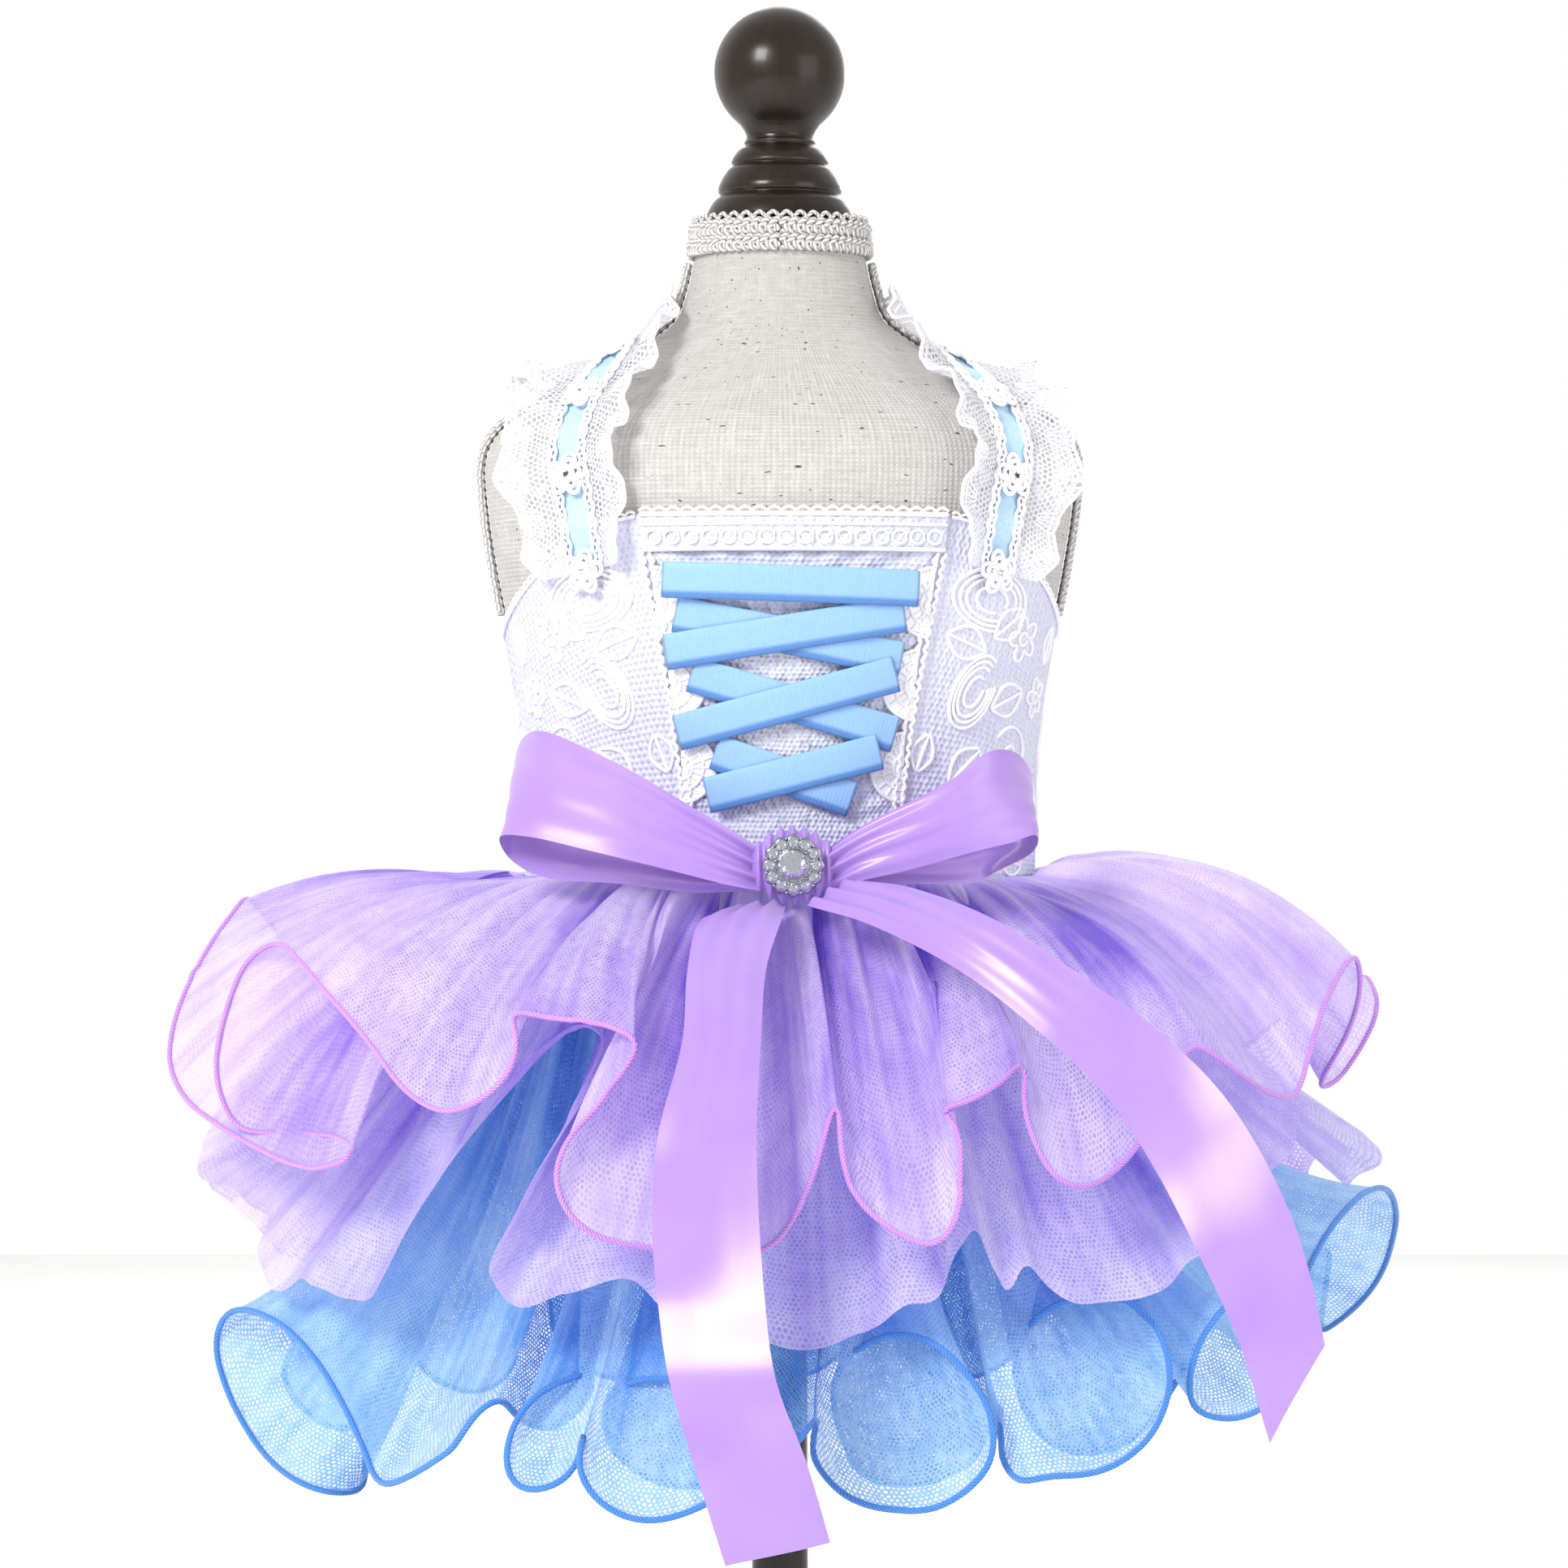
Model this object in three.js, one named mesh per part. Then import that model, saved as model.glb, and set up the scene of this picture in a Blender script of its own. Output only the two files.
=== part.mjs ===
// A small dog's tutu dress on its dress form.
// Millimetres, +Z up. The origin is the centre of the stand's underside and the front faces -Y.

import * as THREE from 'three';

// ---------- driving dimensions ----------

const CLOTH = 1.2;        // wall of bodice, ribbon and lace
const TULLE = 1.0;        // wall of one tulle layer
const GAP = 0.3;          // space between neighbouring pieces
const TURN = 3;           // degrees that the dress is turned on its form

const WAIST_Z = 226;      // where the bodice ends and the skirt starts
const NECKLINE_Z = 314;
const NECK_TOP_Z = 387.9;
const TORSO_BOTTOM_Z = 190;

const BASE_RADIUS = 75;
const BASE_HEIGHT = 18;
const POLE_RADIUS = 7;

const LACING_WIDTH = 8.6;
const BAND_HEIGHT = 9;
const STRAP_WIDTH = 10;
const STRAP_FRILL = { inner: 11, outer: 14 };
const STRAP_WAVES = 9;
const STEPS_PER_WAVE = 4;
const BROOCH_RADIUS = 7.1;

const COLOUR = {
  linen: 0xcfccc8,
  wood: 0x241c17,
  braid: 0xf2f0f0,
  lace: 0xf0eef8,
  sky: 0xaedffb,
  orchid: 0xd6a6f0,
  lilac: 0xc9b5f3,
  blue: 0x7db2ef,
  silver: 0xd9dce2,
  crystal: 0xf4f7ff,
};

// ---------- number helpers ----------

const rad = (degrees) => THREE.MathUtils.degToRad(degrees);
const lerp = THREE.MathUtils.lerp;
const range = (count) => Array.from({ length: count + 1 }, (_, i) => i / count);

// A smooth curve through a table's column, read at one value of its key column.
function readTable(rows, key, column, at) {
  const keys = rows.map((row) => row[key]);
  const values = rows.map((row) => row[column]);
  const last = rows.length - 1;
  if (at <= keys[0]) return values[0];
  if (at >= keys[last]) return values[last];
  const i = keys.findIndex((k) => k > at) - 1;
  const slope = (n) => {
    const lo = Math.max(n - 1, 0);
    const hi = Math.min(n + 1, last);
    return (values[hi] - values[lo]) / (keys[hi] - keys[lo]);
  };
  const step = keys[i + 1] - keys[i];
  const t = (at - keys[i]) / step;
  const t2 = t * t;
  const t3 = t2 * t;
  return (2 * t3 - 3 * t2 + 1) * values[i]
    + (t3 - 2 * t2 + t) * step * slope(i)
    + (3 * t2 - 2 * t3) * values[i + 1]
    + (t3 - t2) * step * slope(i + 1);
}

// ---------- solid helpers ----------

function geometryOf(points, triangles) {
  const geometry = new THREE.BufferGeometry();
  const flat = points.flatMap((p) => [p.x, p.y, p.z]);
  geometry.setAttribute('position', new THREE.Float32BufferAttribute(flat, 3));
  geometry.setIndex(triangles.flat());
  return geometry;
}

// Turns a closed body's faces outwards.
function faceOut(geometry) {
  const { position } = geometry.attributes;
  const index = geometry.index.array;
  const corner = (n) => new THREE.Vector3().fromBufferAttribute(position, index[n]);
  let volume = 0;
  for (let n = 0; n < index.length; n += 3) {
    volume += corner(n).dot(corner(n + 1).cross(corner(n + 2)));
  }
  if (volume < 0) {
    geometry.setIndex([...index].reverse());
  }
  return geometry;
}

// The unit normal of a grid of points at one place.
function gridNormal(grid, i, j) {
  const rows = grid.length - 1;
  const columns = grid[0].length - 1;
  const along = grid[i][Math.min(j + 1, columns)].clone().sub(grid[i][Math.max(j - 1, 0)]);
  const down = grid[Math.min(i + 1, rows)][j].clone().sub(grid[Math.max(i - 1, 0)][j]);
  return along.cross(down).normalize();
}

// A closed wall of even thickness round a grid of middle points.
function wall(grid, thickness) {
  const rows = grid.length;
  const columns = grid[0].length;
  const points = [];
  for (const side of [0.5, -0.5]) {
    for (let i = 0; i < rows; i++) {
      for (let j = 0; j < columns; j++) {
        const normal = gridNormal(grid, i, j);
        points.push(grid[i][j].clone().addScaledVector(normal, side * thickness));
      }
    }
  }
  const front = (i, j) => i * columns + j;
  const back = (i, j) => rows * columns + front(i, j);
  const triangles = [];
  const quad = (a, b, c, d) => triangles.push([a, b, c], [a, c, d]);
  for (let i = 0; i < rows - 1; i++) {
    for (let j = 0; j < columns - 1; j++) {
      quad(front(i, j), front(i + 1, j), front(i + 1, j + 1), front(i, j + 1));
      quad(back(i, j), back(i, j + 1), back(i + 1, j + 1), back(i + 1, j));
    }
  }
  for (let j = 0; j < columns - 1; j++) {
    quad(front(0, j), front(0, j + 1), back(0, j + 1), back(0, j));
    quad(front(rows - 1, j + 1), front(rows - 1, j), back(rows - 1, j), back(rows - 1, j + 1));
  }
  for (let i = 0; i < rows - 1; i++) {
    quad(front(i + 1, 0), front(i, 0), back(i, 0), back(i + 1, 0));
    quad(front(i, columns - 1), front(i + 1, columns - 1),
      back(i + 1, columns - 1), back(i, columns - 1));
  }
  return geometryOf(points, triangles);
}

// A closed body through level rings of points, with flat ends.
function loft(rings) {
  const count = rings[0].length;
  const points = rings.flat();
  const triangles = [];
  for (let i = 0; i < rings.length - 1; i++) {
    for (let j = 0; j < count; j++) {
      const a = i * count + j;
      const b = i * count + (j + 1) % count;
      triangles.push([a, b, b + count], [a, b + count, a + count]);
    }
  }
  for (let j = 1; j < count - 1; j++) {
    const top = (rings.length - 1) * count;
    triangles.push([0, j + 1, j], [top, top + j, top + j + 1]);
  }
  return geometryOf(points, triangles);
}

const dress = new THREE.Group();

function add(name, geometry, colour, roughness = 0.8, metalness = 0) {
  const material = new THREE.MeshStandardMaterial({ color: colour, roughness, metalness });
  const mesh = new THREE.Mesh(faceOut(geometry), material);
  mesh.name = name;
  dress.add(mesh);
  return mesh;
}

// ---------- dress form ----------

// Half width and half depth of the linen torso, from its underside up to the neck.
const TORSO = [
  { z: 190, wide: 57.0, deep: 45.0 },
  { z: 205, wide: 60.5, deep: 47.5 },
  { z: 231, wide: 61.3, deep: 48.5 },
  { z: 261, wide: 62.3, deep: 49.5 },
  { z: 285, wide: 66.0, deep: 52.0 },
  { z: 303, wide: 69.5, deep: 53.5 },
  { z: 320, wide: 72.0, deep: 52.5 },
  { z: 331, wide: 72.0, deep: 49.0 },
  { z: 338, wide: 67.5, deep: 44.5 },
  { z: 345, wide: 57.0, deep: 38.0 },
  { z: 352, wide: 43.5, deep: 32.0 },
  { z: 358, wide: 33.5, deep: 27.5 },
  { z: 364, wide: 25.8, deep: 24.0 },
  { z: 372, wide: 22.6, deep: 22.2 },
  { z: 380, wide: 21.0, deep: 21.0 },
  { z: 388, wide: 20.2, deep: 20.2 },
];
const TORSO_COLUMNS = 28;

// A point at a height on the torso, turned from the front towards +X, moved out level.
function onTorso(turn, z, out = 0) {
  const wide = readTable(TORSO, 'z', 'wide', z) + out;
  const deep = readTable(TORSO, 'z', 'deep', z) + out;
  return new THREE.Vector3(wide * Math.sin(rad(turn)), -deep * Math.cos(rad(turn)), z);
}

// The torso's outward direction at a place.
function torsoNormal(turn, z) {
  const along = onTorso(turn + 1, z).sub(onTorso(turn - 1, z));
  const up = onTorso(turn, z + 0.7).sub(onTorso(turn, z - 0.7));
  return along.cross(up).normalize();
}

function liftedOffTorso(turn, z, out) {
  return onTorso(turn, z).addScaledVector(torsoNormal(turn, z), out);
}

function torso() {
  const heights = TORSO.map((row) => row.z);
  heights[0] = TORSO_BOTTOM_Z;
  heights[heights.length - 1] = NECK_TOP_Z;
  const rings = heights.map((z) => range(TORSO_COLUMNS).slice(0, -1).map((t) => onTorso(360 * t, z)));
  add('form_torso', loft(rings), COLOUR.linen, 0.9);
}

// Turned cap and ball, as radius and height from the axis out and back.
const CAP = [
  { r: 18.3, z: 388.2 },
  { r: 17.6, z: 389.6 },
  { r: 15.4, z: 391.4 },
  { r: 16.0, z: 393.6 },
  { r: 14.0, z: 396.4 },
  { r: 14.2, z: 398.4 },
  { r: 11.2, z: 402.4 },
  { r: 11.0, z: 404.6 },
  { r: 8.2, z: 408.4 },
];
const BALL = { r: 16.2, z: 425.6, from: -64, to: 84, steps: 9 };

function cap() {
  const profile = [new THREE.Vector2(0, CAP[0].z)];
  for (const row of CAP) {
    profile.push(new THREE.Vector2(row.r, row.z));
  }
  for (const t of range(BALL.steps)) {
    const tilt = rad(lerp(BALL.from, BALL.to, t));
    profile.push(new THREE.Vector2(BALL.r * Math.cos(tilt), BALL.z + BALL.r * Math.sin(tilt)));
  }
  profile.push(new THREE.Vector2(0, BALL.z + BALL.r));
  const geometry = new THREE.LatheGeometry(profile, 20);
  geometry.rotateX(Math.PI / 2);
  add('form_cap_ball', geometry, COLOUR.wood, 0.25);
}

function stand() {
  const pole = new THREE.CylinderGeometry(POLE_RADIUS, POLE_RADIUS,
    TORSO_BOTTOM_Z - BASE_HEIGHT - 2 * GAP, 20);
  pole.rotateX(Math.PI / 2);
  const post = add('form_pole', pole, COLOUR.wood, 0.3);
  post.position.z = (TORSO_BOTTOM_Z + BASE_HEIGHT) / 2;
  const edge = [
    [0, 0], [BASE_RADIUS, 0], [BASE_RADIUS, 7], [BASE_RADIUS - 2, 10],
    [BASE_RADIUS - 7, 12], [BASE_RADIUS - 9, 16], [BASE_RADIUS - 13, BASE_HEIGHT], [0, BASE_HEIGHT],
  ];
  const profile = edge.map(([r, z]) => new THREE.Vector2(r, z));
  const foot = new THREE.LatheGeometry(profile, 28);
  foot.rotateX(Math.PI / 2);
  add('form_base', foot, COLOUR.wood, 0.3);
}

// Gimp braid round the top of the neck and down each side seam.
const NECK_BRAID = { low: 379, high: 387.6, thick: 1.4, columns: 28 };
const SIDE_BRAID = { low: 292, high: 378, width: 4.4, thick: 1.0, rows: 16, clear: 0.7 };

function braids() {
  const rings = [];
  const corners = [[NECK_BRAID.low, 0], [NECK_BRAID.high, 0],
    [NECK_BRAID.high, NECK_BRAID.thick], [NECK_BRAID.low, NECK_BRAID.thick]];
  const inner = readTable(TORSO, 'z', 'wide', NECK_BRAID.low) + GAP;
  for (const [z, out] of corners) {
    rings.push(new THREE.Vector2(inner + out, z));
  }
  rings.push(rings[0].clone());
  const band = new THREE.LatheGeometry(rings, NECK_BRAID.columns);
  band.rotateX(Math.PI / 2);
  add('form_braid_neck', band, COLOUR.braid);
  for (const [side, at] of [['left', -90], ['right', 90]]) {
    const rows = range(SIDE_BRAID.rows).map((t) => {
      const z = lerp(SIDE_BRAID.high, SIDE_BRAID.low, t);
      const deep = readTable(TORSO, 'z', 'deep', z);
      const half = SIDE_BRAID.width / 2 / deep * 57.3;
      return [-half, half].map((turn) =>
        liftedOffTorso(at + turn, z, SIDE_BRAID.clear + SIDE_BRAID.thick / 2));
    });
    add(`form_braid_${side}`, wall(rows, SIDE_BRAID.thick), COLOUR.braid);
  }
}

// ---------- bodice ----------

const SHELL = 0.5 + CLOTH / 2;             // middle of the bodice wall, off the torso
const FIRST_LAYER = 0.5 + CLOTH + GAP;     // inside of what lies on the bodice

// Height of the bodice's upper edge by the turn from its centre front.
const UPPER_EDGE = [
  { turn: 0, z: NECKLINE_Z },
  { turn: 31, z: NECKLINE_Z },
  { turn: 45, z: 309 },
  { turn: 60, z: 300 },
  { turn: 75, z: 292 },
  { turn: 90, z: 287 },
  { turn: 108, z: 287 },
  { turn: 125, z: 294 },
  { turn: 140, z: 303 },
  { turn: 155, z: 306 },
  { turn: 180, z: 306 },
];
// Half angle of the centre panel, which narrows to the waist.
const CENTRE = { top: 29.5, waist: 21 };

function seamTurn(z) {
  return lerp(CENTRE.waist, CENTRE.top, (z - WAIST_Z) / (NECKLINE_Z - WAIST_Z));
}

// A panel between two seams, each a function of height.
function bodicePanel(name, from, to, columns, rows) {
  const grid = range(rows).map((down) => range(columns).map((across) => {
    const topTurn = lerp(from(NECKLINE_Z), to(NECKLINE_Z), across);
    const top = readTable(UPPER_EDGE, 'turn', 'z', Math.abs(topTurn));
    const z = lerp(top, WAIST_Z, down);
    return onTorso(lerp(from(z), to(z), across) + TURN, z, SHELL);
  }));
  add(name, wall(grid, CLOTH), COLOUR.lace);
}

function bodice() {
  const slit = 0.16;   // degrees each side of a seam
  const side = 100;
  bodicePanel('bodice_centre', (z) => -seamTurn(z) + slit, (z) => seamTurn(z) - slit, 8, 5);
  bodicePanel('bodice_front_right', (z) => seamTurn(z) + slit, () => side - slit, 8, 5);
  bodicePanel('bodice_front_left', () => -side + slit, (z) => -seamTurn(z) - slit, 8, 5);
  bodicePanel('bodice_back_right', () => side + slit, () => 180 - slit, 8, 5);
  bodicePanel('bodice_back_left', () => -180 + slit, () => -side - slit, 8, 5);
}

// A strip that lies on the bodice between two places, given in mm from the centre line.
function laidStrip(start, end, width, middle, columns) {
  const place = (x, z) => {
    const reach = readTable(TORSO, 'z', 'wide', z) + middle;
    return onTorso(TURN + Math.asin(x / reach) * 57.3, z, middle);
  };
  const run = new THREE.Vector2(end.x - start.x, end.z - start.z).normalize();
  const half = width / 2;
  return [half, -half].map((across) => range(columns).map((t) => place(
    lerp(start.x, end.x, t) - run.y * across,
    lerp(start.z, end.z, t) + run.x * across,
  )));
}

function neckBand() {
  const middle = FIRST_LAYER + CLOTH / 2;
  const z = NECKLINE_Z - BAND_HEIGHT / 2;
  const grid = laidStrip({ x: -33, z }, { x: 33, z }, BAND_HEIGHT, middle, 12);
  add('neckline_lace_band', wall(grid, CLOTH), COLOUR.lace);
}

// Scalloped edging down each seam of the centre panel, with its loops towards the centre.
const EDGING = { high: 303, low: 244, narrow: 1.6, loop: 4.6, loops: 3, thick: 0.8 };

function edgings() {
  const middle = FIRST_LAYER + EDGING.thick / 2;
  for (const [side, sign] of [['left', -1], ['right', 1]]) {
    const grid = range(24).map((t) => {
      const z = lerp(EDGING.high, EDGING.low, t);
      const loop = Math.abs(Math.sin(Math.PI * EDGING.loops * t)) ** 0.7;
      const inward = EDGING.narrow + EDGING.loop * loop;
      const degree = 57.3 / readTable(TORSO, 'z', 'wide', z);
      const seam = seamTurn(z);
      return [seam + 1.4 * degree, seam - inward * degree].map((turn) =>
        onTorso(TURN + sign * turn, z, middle));
    });
    add(`picot_edging_${side}`, wall(grid, EDGING.thick), COLOUR.lace);
  }
}

// The lacing, from its left end to its right end, in mm from the centre line.
const LACING = [
  { name: 'lacing_top_bar', leftX: -31.5, leftZ: 298.3, rightX: 29.5, rightZ: 296.2, layer: 3 },
  { name: 'lacing_1_under', leftX: -28.3, leftZ: 290.2, rightX: 25.6, rightZ: 279.5, layer: 1 },
  { name: 'lacing_1_over', leftX: -30.6, leftZ: 281.2, rightX: 26.2, rightZ: 290.2, layer: 2 },
  { name: 'lacing_2_under', leftX: -24.5, leftZ: 276.0, rightX: 24.3, rightZ: 261.7, layer: 1 },
  { name: 'lacing_2_over', leftX: -27.8, leftZ: 262.1, rightX: 24.3, rightZ: 276.0, layer: 2 },
  { name: 'lacing_3_under', leftX: -18.8, leftZ: 257.6, rightX: 13.8, rightZ: 246.4, layer: 1 },
  { name: 'lacing_3_over', leftX: -20.7, leftZ: 247.3, rightX: 20.5, rightZ: 257.6, layer: 2 },
];
const LACING_THICK = 1.0;

function lacing() {
  const lowest = FIRST_LAYER + CLOTH + GAP;
  for (const row of LACING) {
    const middle = lowest + LACING_THICK / 2 + (row.layer - 1) * (LACING_THICK + GAP);
    const start = { x: row.leftX, z: row.leftZ };
    const end = { x: row.rightX, z: row.rightZ };
    const grid = laidStrip(start, end, LACING_WIDTH, middle, 8);
    add(row.name, wall(grid, LACING_THICK), COLOUR.sky, 0.5);
  }
}

// ---------- shoulder straps ----------

// The strap's middle line from the bodice's front, over the shoulder, to its back.
const STRAP_PATH = [
  { turn: 43, z: 301 }, { turn: 44, z: 316 }, { turn: 46, z: 330 }, { turn: 49, z: 340 },
  { turn: 58, z: 348 }, { turn: 73, z: 353.4 }, { turn: 90, z: 355 },
  { turn: 107, z: 353.4 }, { turn: 122, z: 348 }, { turn: 131, z: 340 },
  { turn: 134, z: 330 }, { turn: 136, z: 316 }, { turn: 137, z: 299 },
];
const STRAP_OUT = FIRST_LAYER + 0.3 + CLOTH / 2;
const FRILL_THICK = 1.0;
const FRILL_LIFT = { inner: 4.2, outer: 4.0 };
const FRILL_WAVE = 2.6;

function strapFrame(side) {
  const points = STRAP_PATH.map((row) =>
    liftedOffTorso(TURN + side * row.turn, row.z, STRAP_OUT));
  const curve = new THREE.CatmullRomCurve3(points, false, 'centripetal');
  const ups = STRAP_PATH.map((row) => torsoNormal(TURN + side * row.turn, row.z));
  const upCurve = new THREE.CatmullRomCurve3(ups, false, 'centripetal');
  return (t) => {
    const tangent = curve.getTangent(t);
    const up = upCurve.getPoint(t).normalize();
    const across = tangent.clone().cross(up).normalize().multiplyScalar(side);
    return { at: curve.getPoint(t), up, across };
  };
}

function straps() {
  for (const [name, side] of [['left', -1], ['right', 1]]) {
    const frameAt = strapFrame(side);
    const half = STRAP_WIDTH / 2;
    const band = range(24).map((t) => {
      const { at, across } = frameAt(t);
      return [-half, half].map((step) => at.clone().addScaledVector(across, step));
    });
    add(`strap_${name}_beading`, wall(band, CLOTH), COLOUR.sky, 0.6);
    for (const [edge, sign] of [['inner', -1], ['outer', 1]]) {
      const grid = range(STRAP_WAVES * STEPS_PER_WAVE).map((t) => {
        const { at, up, across } = frameAt(t);
        const full = 0.4 + 0.6 * Math.sin(Math.PI * t) ** 0.5;
        const wave = Math.sin(2 * Math.PI * STRAP_WAVES * t);
        return [0, 1].map((out) => at.clone()
          .addScaledVector(across, sign * (half + GAP + STRAP_FRILL[edge] * full * out))
          .addScaledVector(up, FRILL_LIFT[edge] * out * full + FRILL_WAVE * wave * out));
      });
      add(`strap_${name}_frill_${edge}`, wall(grid, FRILL_THICK), COLOUR.lace);
    }
  }
}

// ---------- skirt ----------

// Flutes of a ruffle, from ridge to ridge: width in degrees round the waist, how far the cloth's
// direction swings in degrees, and how tall the flute is against its own shape.
const LILAC_START = -102;
const LILAC_FLUTES = [
  { width: 30, swing: 94, tall: 1.45 }, { width: 30, swing: 94, tall: 1.35 },
  { width: 23, swing: 88, tall: 1.3 }, { width: 23, swing: 90, tall: 1.5 },
  { width: 17, swing: 88, tall: 1.75 }, { width: 19, swing: 88, tall: 1.5 },
  { width: 37, swing: 68, tall: 1.0 }, { width: 28, swing: 76, tall: 0.9 },
  { width: 26, swing: 82, tall: 1.0 }, { width: 24, swing: 86, tall: 1.0 },
  { width: 27, swing: 80, tall: 1.0 }, { width: 25, swing: 86, tall: 1.0 },
  { width: 26, swing: 82, tall: 1.0 }, { width: 25, swing: 84, tall: 1.0 },
];
const BLUE_START = -78;
const BLUE_FLUTES = [
  { width: 30, swing: 116, tall: 0.9 }, { width: 19, swing: 112, tall: 1.0 },
  { width: 11, swing: 100, tall: 1.8 }, { width: 17, swing: 114, tall: 1.3 },
  { width: 22, swing: 116, tall: 1.05 }, { width: 20, swing: 118, tall: 1.15 },
  { width: 21, swing: 112, tall: 0.8 }, { width: 28, swing: 112, tall: 0.8 },
  { width: 24, swing: 114, tall: 0.9 }, { width: 23, swing: 110, tall: 0.9 },
  { width: 25, swing: 116, tall: 0.9 }, { width: 24, swing: 112, tall: 0.9 },
  { width: 23, swing: 114, tall: 0.9 }, { width: 25, swing: 110, tall: 0.9 },
  { width: 24, swing: 116, tall: 0.9 }, { width: 24, swing: 112, tall: 0.9 },
];

// Each layer's fall from the waist: a middle place and the hem, out from the axis and up,
// on its four sides.
const LILAC_FALL = {
  front: { midOut: 80, midZ: 198, out: 116, z: 167 },
  right: { midOut: 104, midZ: 232, out: 136, z: 190 },
  back: { midOut: 78, midZ: 206, out: 115, z: 173 },
  left: { midOut: 104, midZ: 228, out: 132, z: 192 },
};
const UNDER_FALL = {
  front: { midOut: 66, midZ: 164, out: 104, z: 134 },
  right: { midOut: 94, midZ: 184, out: 138, z: 150 },
  back: { midOut: 66, midZ: 166, out: 104, z: 135 },
  left: { midOut: 92, midZ: 176, out: 136, z: 140 },
};
const BLUE_FALL = {
  front: { midOut: 62, midZ: 132, out: 124, z: 105 },
  right: { midOut: 83, midZ: 141, out: 144, z: 121 },
  back: { midOut: 62, midZ: 132, out: 124, z: 105 },
  left: { midOut: 80, midZ: 132, out: 130, z: 102 },
};

// How much of the hem's swing the cloth has at the waist and how it grows, and the share of a
// flute's cloth in its round bottom. Columns of the wall are counted in a ridge and in a bottom.
const LAYERS = {
  lilac_ruffle: {
    fall: LILAC_FALL, start: LILAC_START, flutes: LILAC_FLUTES, waistOut: 6.6, waistSwing: 0.06,
    grow: 1.0, swingShare: 1, bottom: 0.6, ridgeSteps: 3, bottomSteps: 5, rows: 5,
    colour: COLOUR.lilac,
    panels: [['front_left', 0, 4], ['front_right', 4, 8], ['back_right', 8, 11], ['back_left', 11, 14]],
  },
  lilac_underlayer: {
    fall: UNDER_FALL, start: BLUE_START, flutes: BLUE_FLUTES, waistOut: 4.0, waistSwing: 0.06,
    grow: 1.0, swingShare: 0.62, bottom: 0.66, ridgeSteps: 2, bottomSteps: 4, rows: 4,
    colour: COLOUR.lilac,
    panels: [['front_left', 0, 4], ['front_right', 4, 8], ['back_right', 8, 12], ['back_left', 12, 16]],
  },
  blue_ruffle: {
    fall: BLUE_FALL, start: BLUE_START, flutes: BLUE_FLUTES, waistOut: 2.0, waistSwing: 0.1,
    grow: 1.1, swingShare: 1, bottom: 0.72, ridgeSteps: 4, bottomSteps: 6, rows: 5,
    colour: COLOUR.blue,
    panels: [['front_left', 0, 4], ['front_right', 4, 8], ['back_right', 8, 12], ['back_left', 12, 16]],
  },
};

// Blend of a value's four sides at a turn from the front.
function bySide(fall, column, turn) {
  const ahead = Math.cos(rad(turn));
  const across = Math.sin(rad(turn));
  const fore = ahead > 0 ? fall.front[column] : fall.back[column];
  const beside = across > 0 ? fall.right[column] : fall.left[column];
  return fore * ahead * ahead + beside * across * across;
}

// The smooth surface that a layer's flutes swing about.
function fallPoint(layer, turn, share) {
  const { fall, waistOut } = layer;
  const sides = Math.sin(rad(turn)) > 0 ? 'right' : 'left';
  const ends = Math.cos(rad(turn)) > 0 ? 'front' : 'back';
  const torsoWide = readTable(TORSO, 'z', 'wide', WAIST_Z);
  const torsoDeep = readTable(TORSO, 'z', 'deep', WAIST_Z);
  const bend = (a, b, c) => (1 - share) ** 2 * a + 2 * share * (1 - share) * b + share ** 2 * c;
  const wide = bend(torsoWide + waistOut, fall[sides].midOut, fall[sides].out);
  const deep = bend(torsoDeep + waistOut, fall[ends].midOut, fall[ends].out);
  const z = bend(WAIST_Z - 2 * GAP, bySide(fall, 'midZ', turn), bySide(fall, 'z', turn));
  return new THREE.Vector3(wide * Math.sin(rad(turn)), -deep * Math.cos(rad(turn)), z);
}

function fallNormal(layer, turn, share) {
  const along = fallPoint(layer, turn + 1, share).sub(fallPoint(layer, turn - 1, share));
  const down = fallPoint(layer, turn, Math.min(share + 0.02, 1))
    .sub(fallPoint(layer, turn, Math.max(share - 0.02, 0)));
  return along.cross(down).normalize().negate();
}

// A flute's curve, by the share of its cloth from the ridge on its left: the cloth bends evenly
// down off the ridge, round the bottom and up again. Along runs 0 to 1 over the flute, and height
// is measured in flute widths.
const CURVE_STEPS = 120;

function flute(swing, bottom, at) {
  const size = rad(swing);
  const side = (1 - bottom) / 2;
  let along = 0;
  let height = 0;
  let whole = 0;
  let lowest = 0;
  let walked = 0;
  for (let n = 0; n < CURVE_STEPS; n++) {
    const s = (n + 0.5) / CURVE_STEPS;
    const turned = s < side ? -s / side : s > 1 - side ? (1 - s) / side : (s - 0.5) / (bottom / 2);
    const direction = size * turned;
    whole += Math.cos(direction);
    walked += Math.sin(direction);
    lowest = Math.min(lowest, walked);
    const part = THREE.MathUtils.clamp(at * CURVE_STEPS - n, 0, 1);
    along += part * Math.cos(direction);
    height += part * Math.sin(direction);
  }
  return { along: along / whole, height: (height - lowest / 2) / whole, peak: -lowest / 2 / whole };
}

// Shares of a flute's cloth at which its wall has a column.
function fluteColumns(layer) {
  const side = (1 - layer.bottom) / 2;
  const down = range(layer.ridgeSteps / 2).filter((t) => t < 1).map((t) => t * side);
  const round = range(layer.bottomSteps).map((t) => side + t * layer.bottom);
  return [...down, ...round, ...down.map((t) => 1 - t).reverse()];
}

function ridgeTurns(layer) {
  const turns = [layer.start];
  for (const { width } of layer.flutes) {
    turns.push(turns[turns.length - 1] + width);
  }
  return turns;
}

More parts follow.
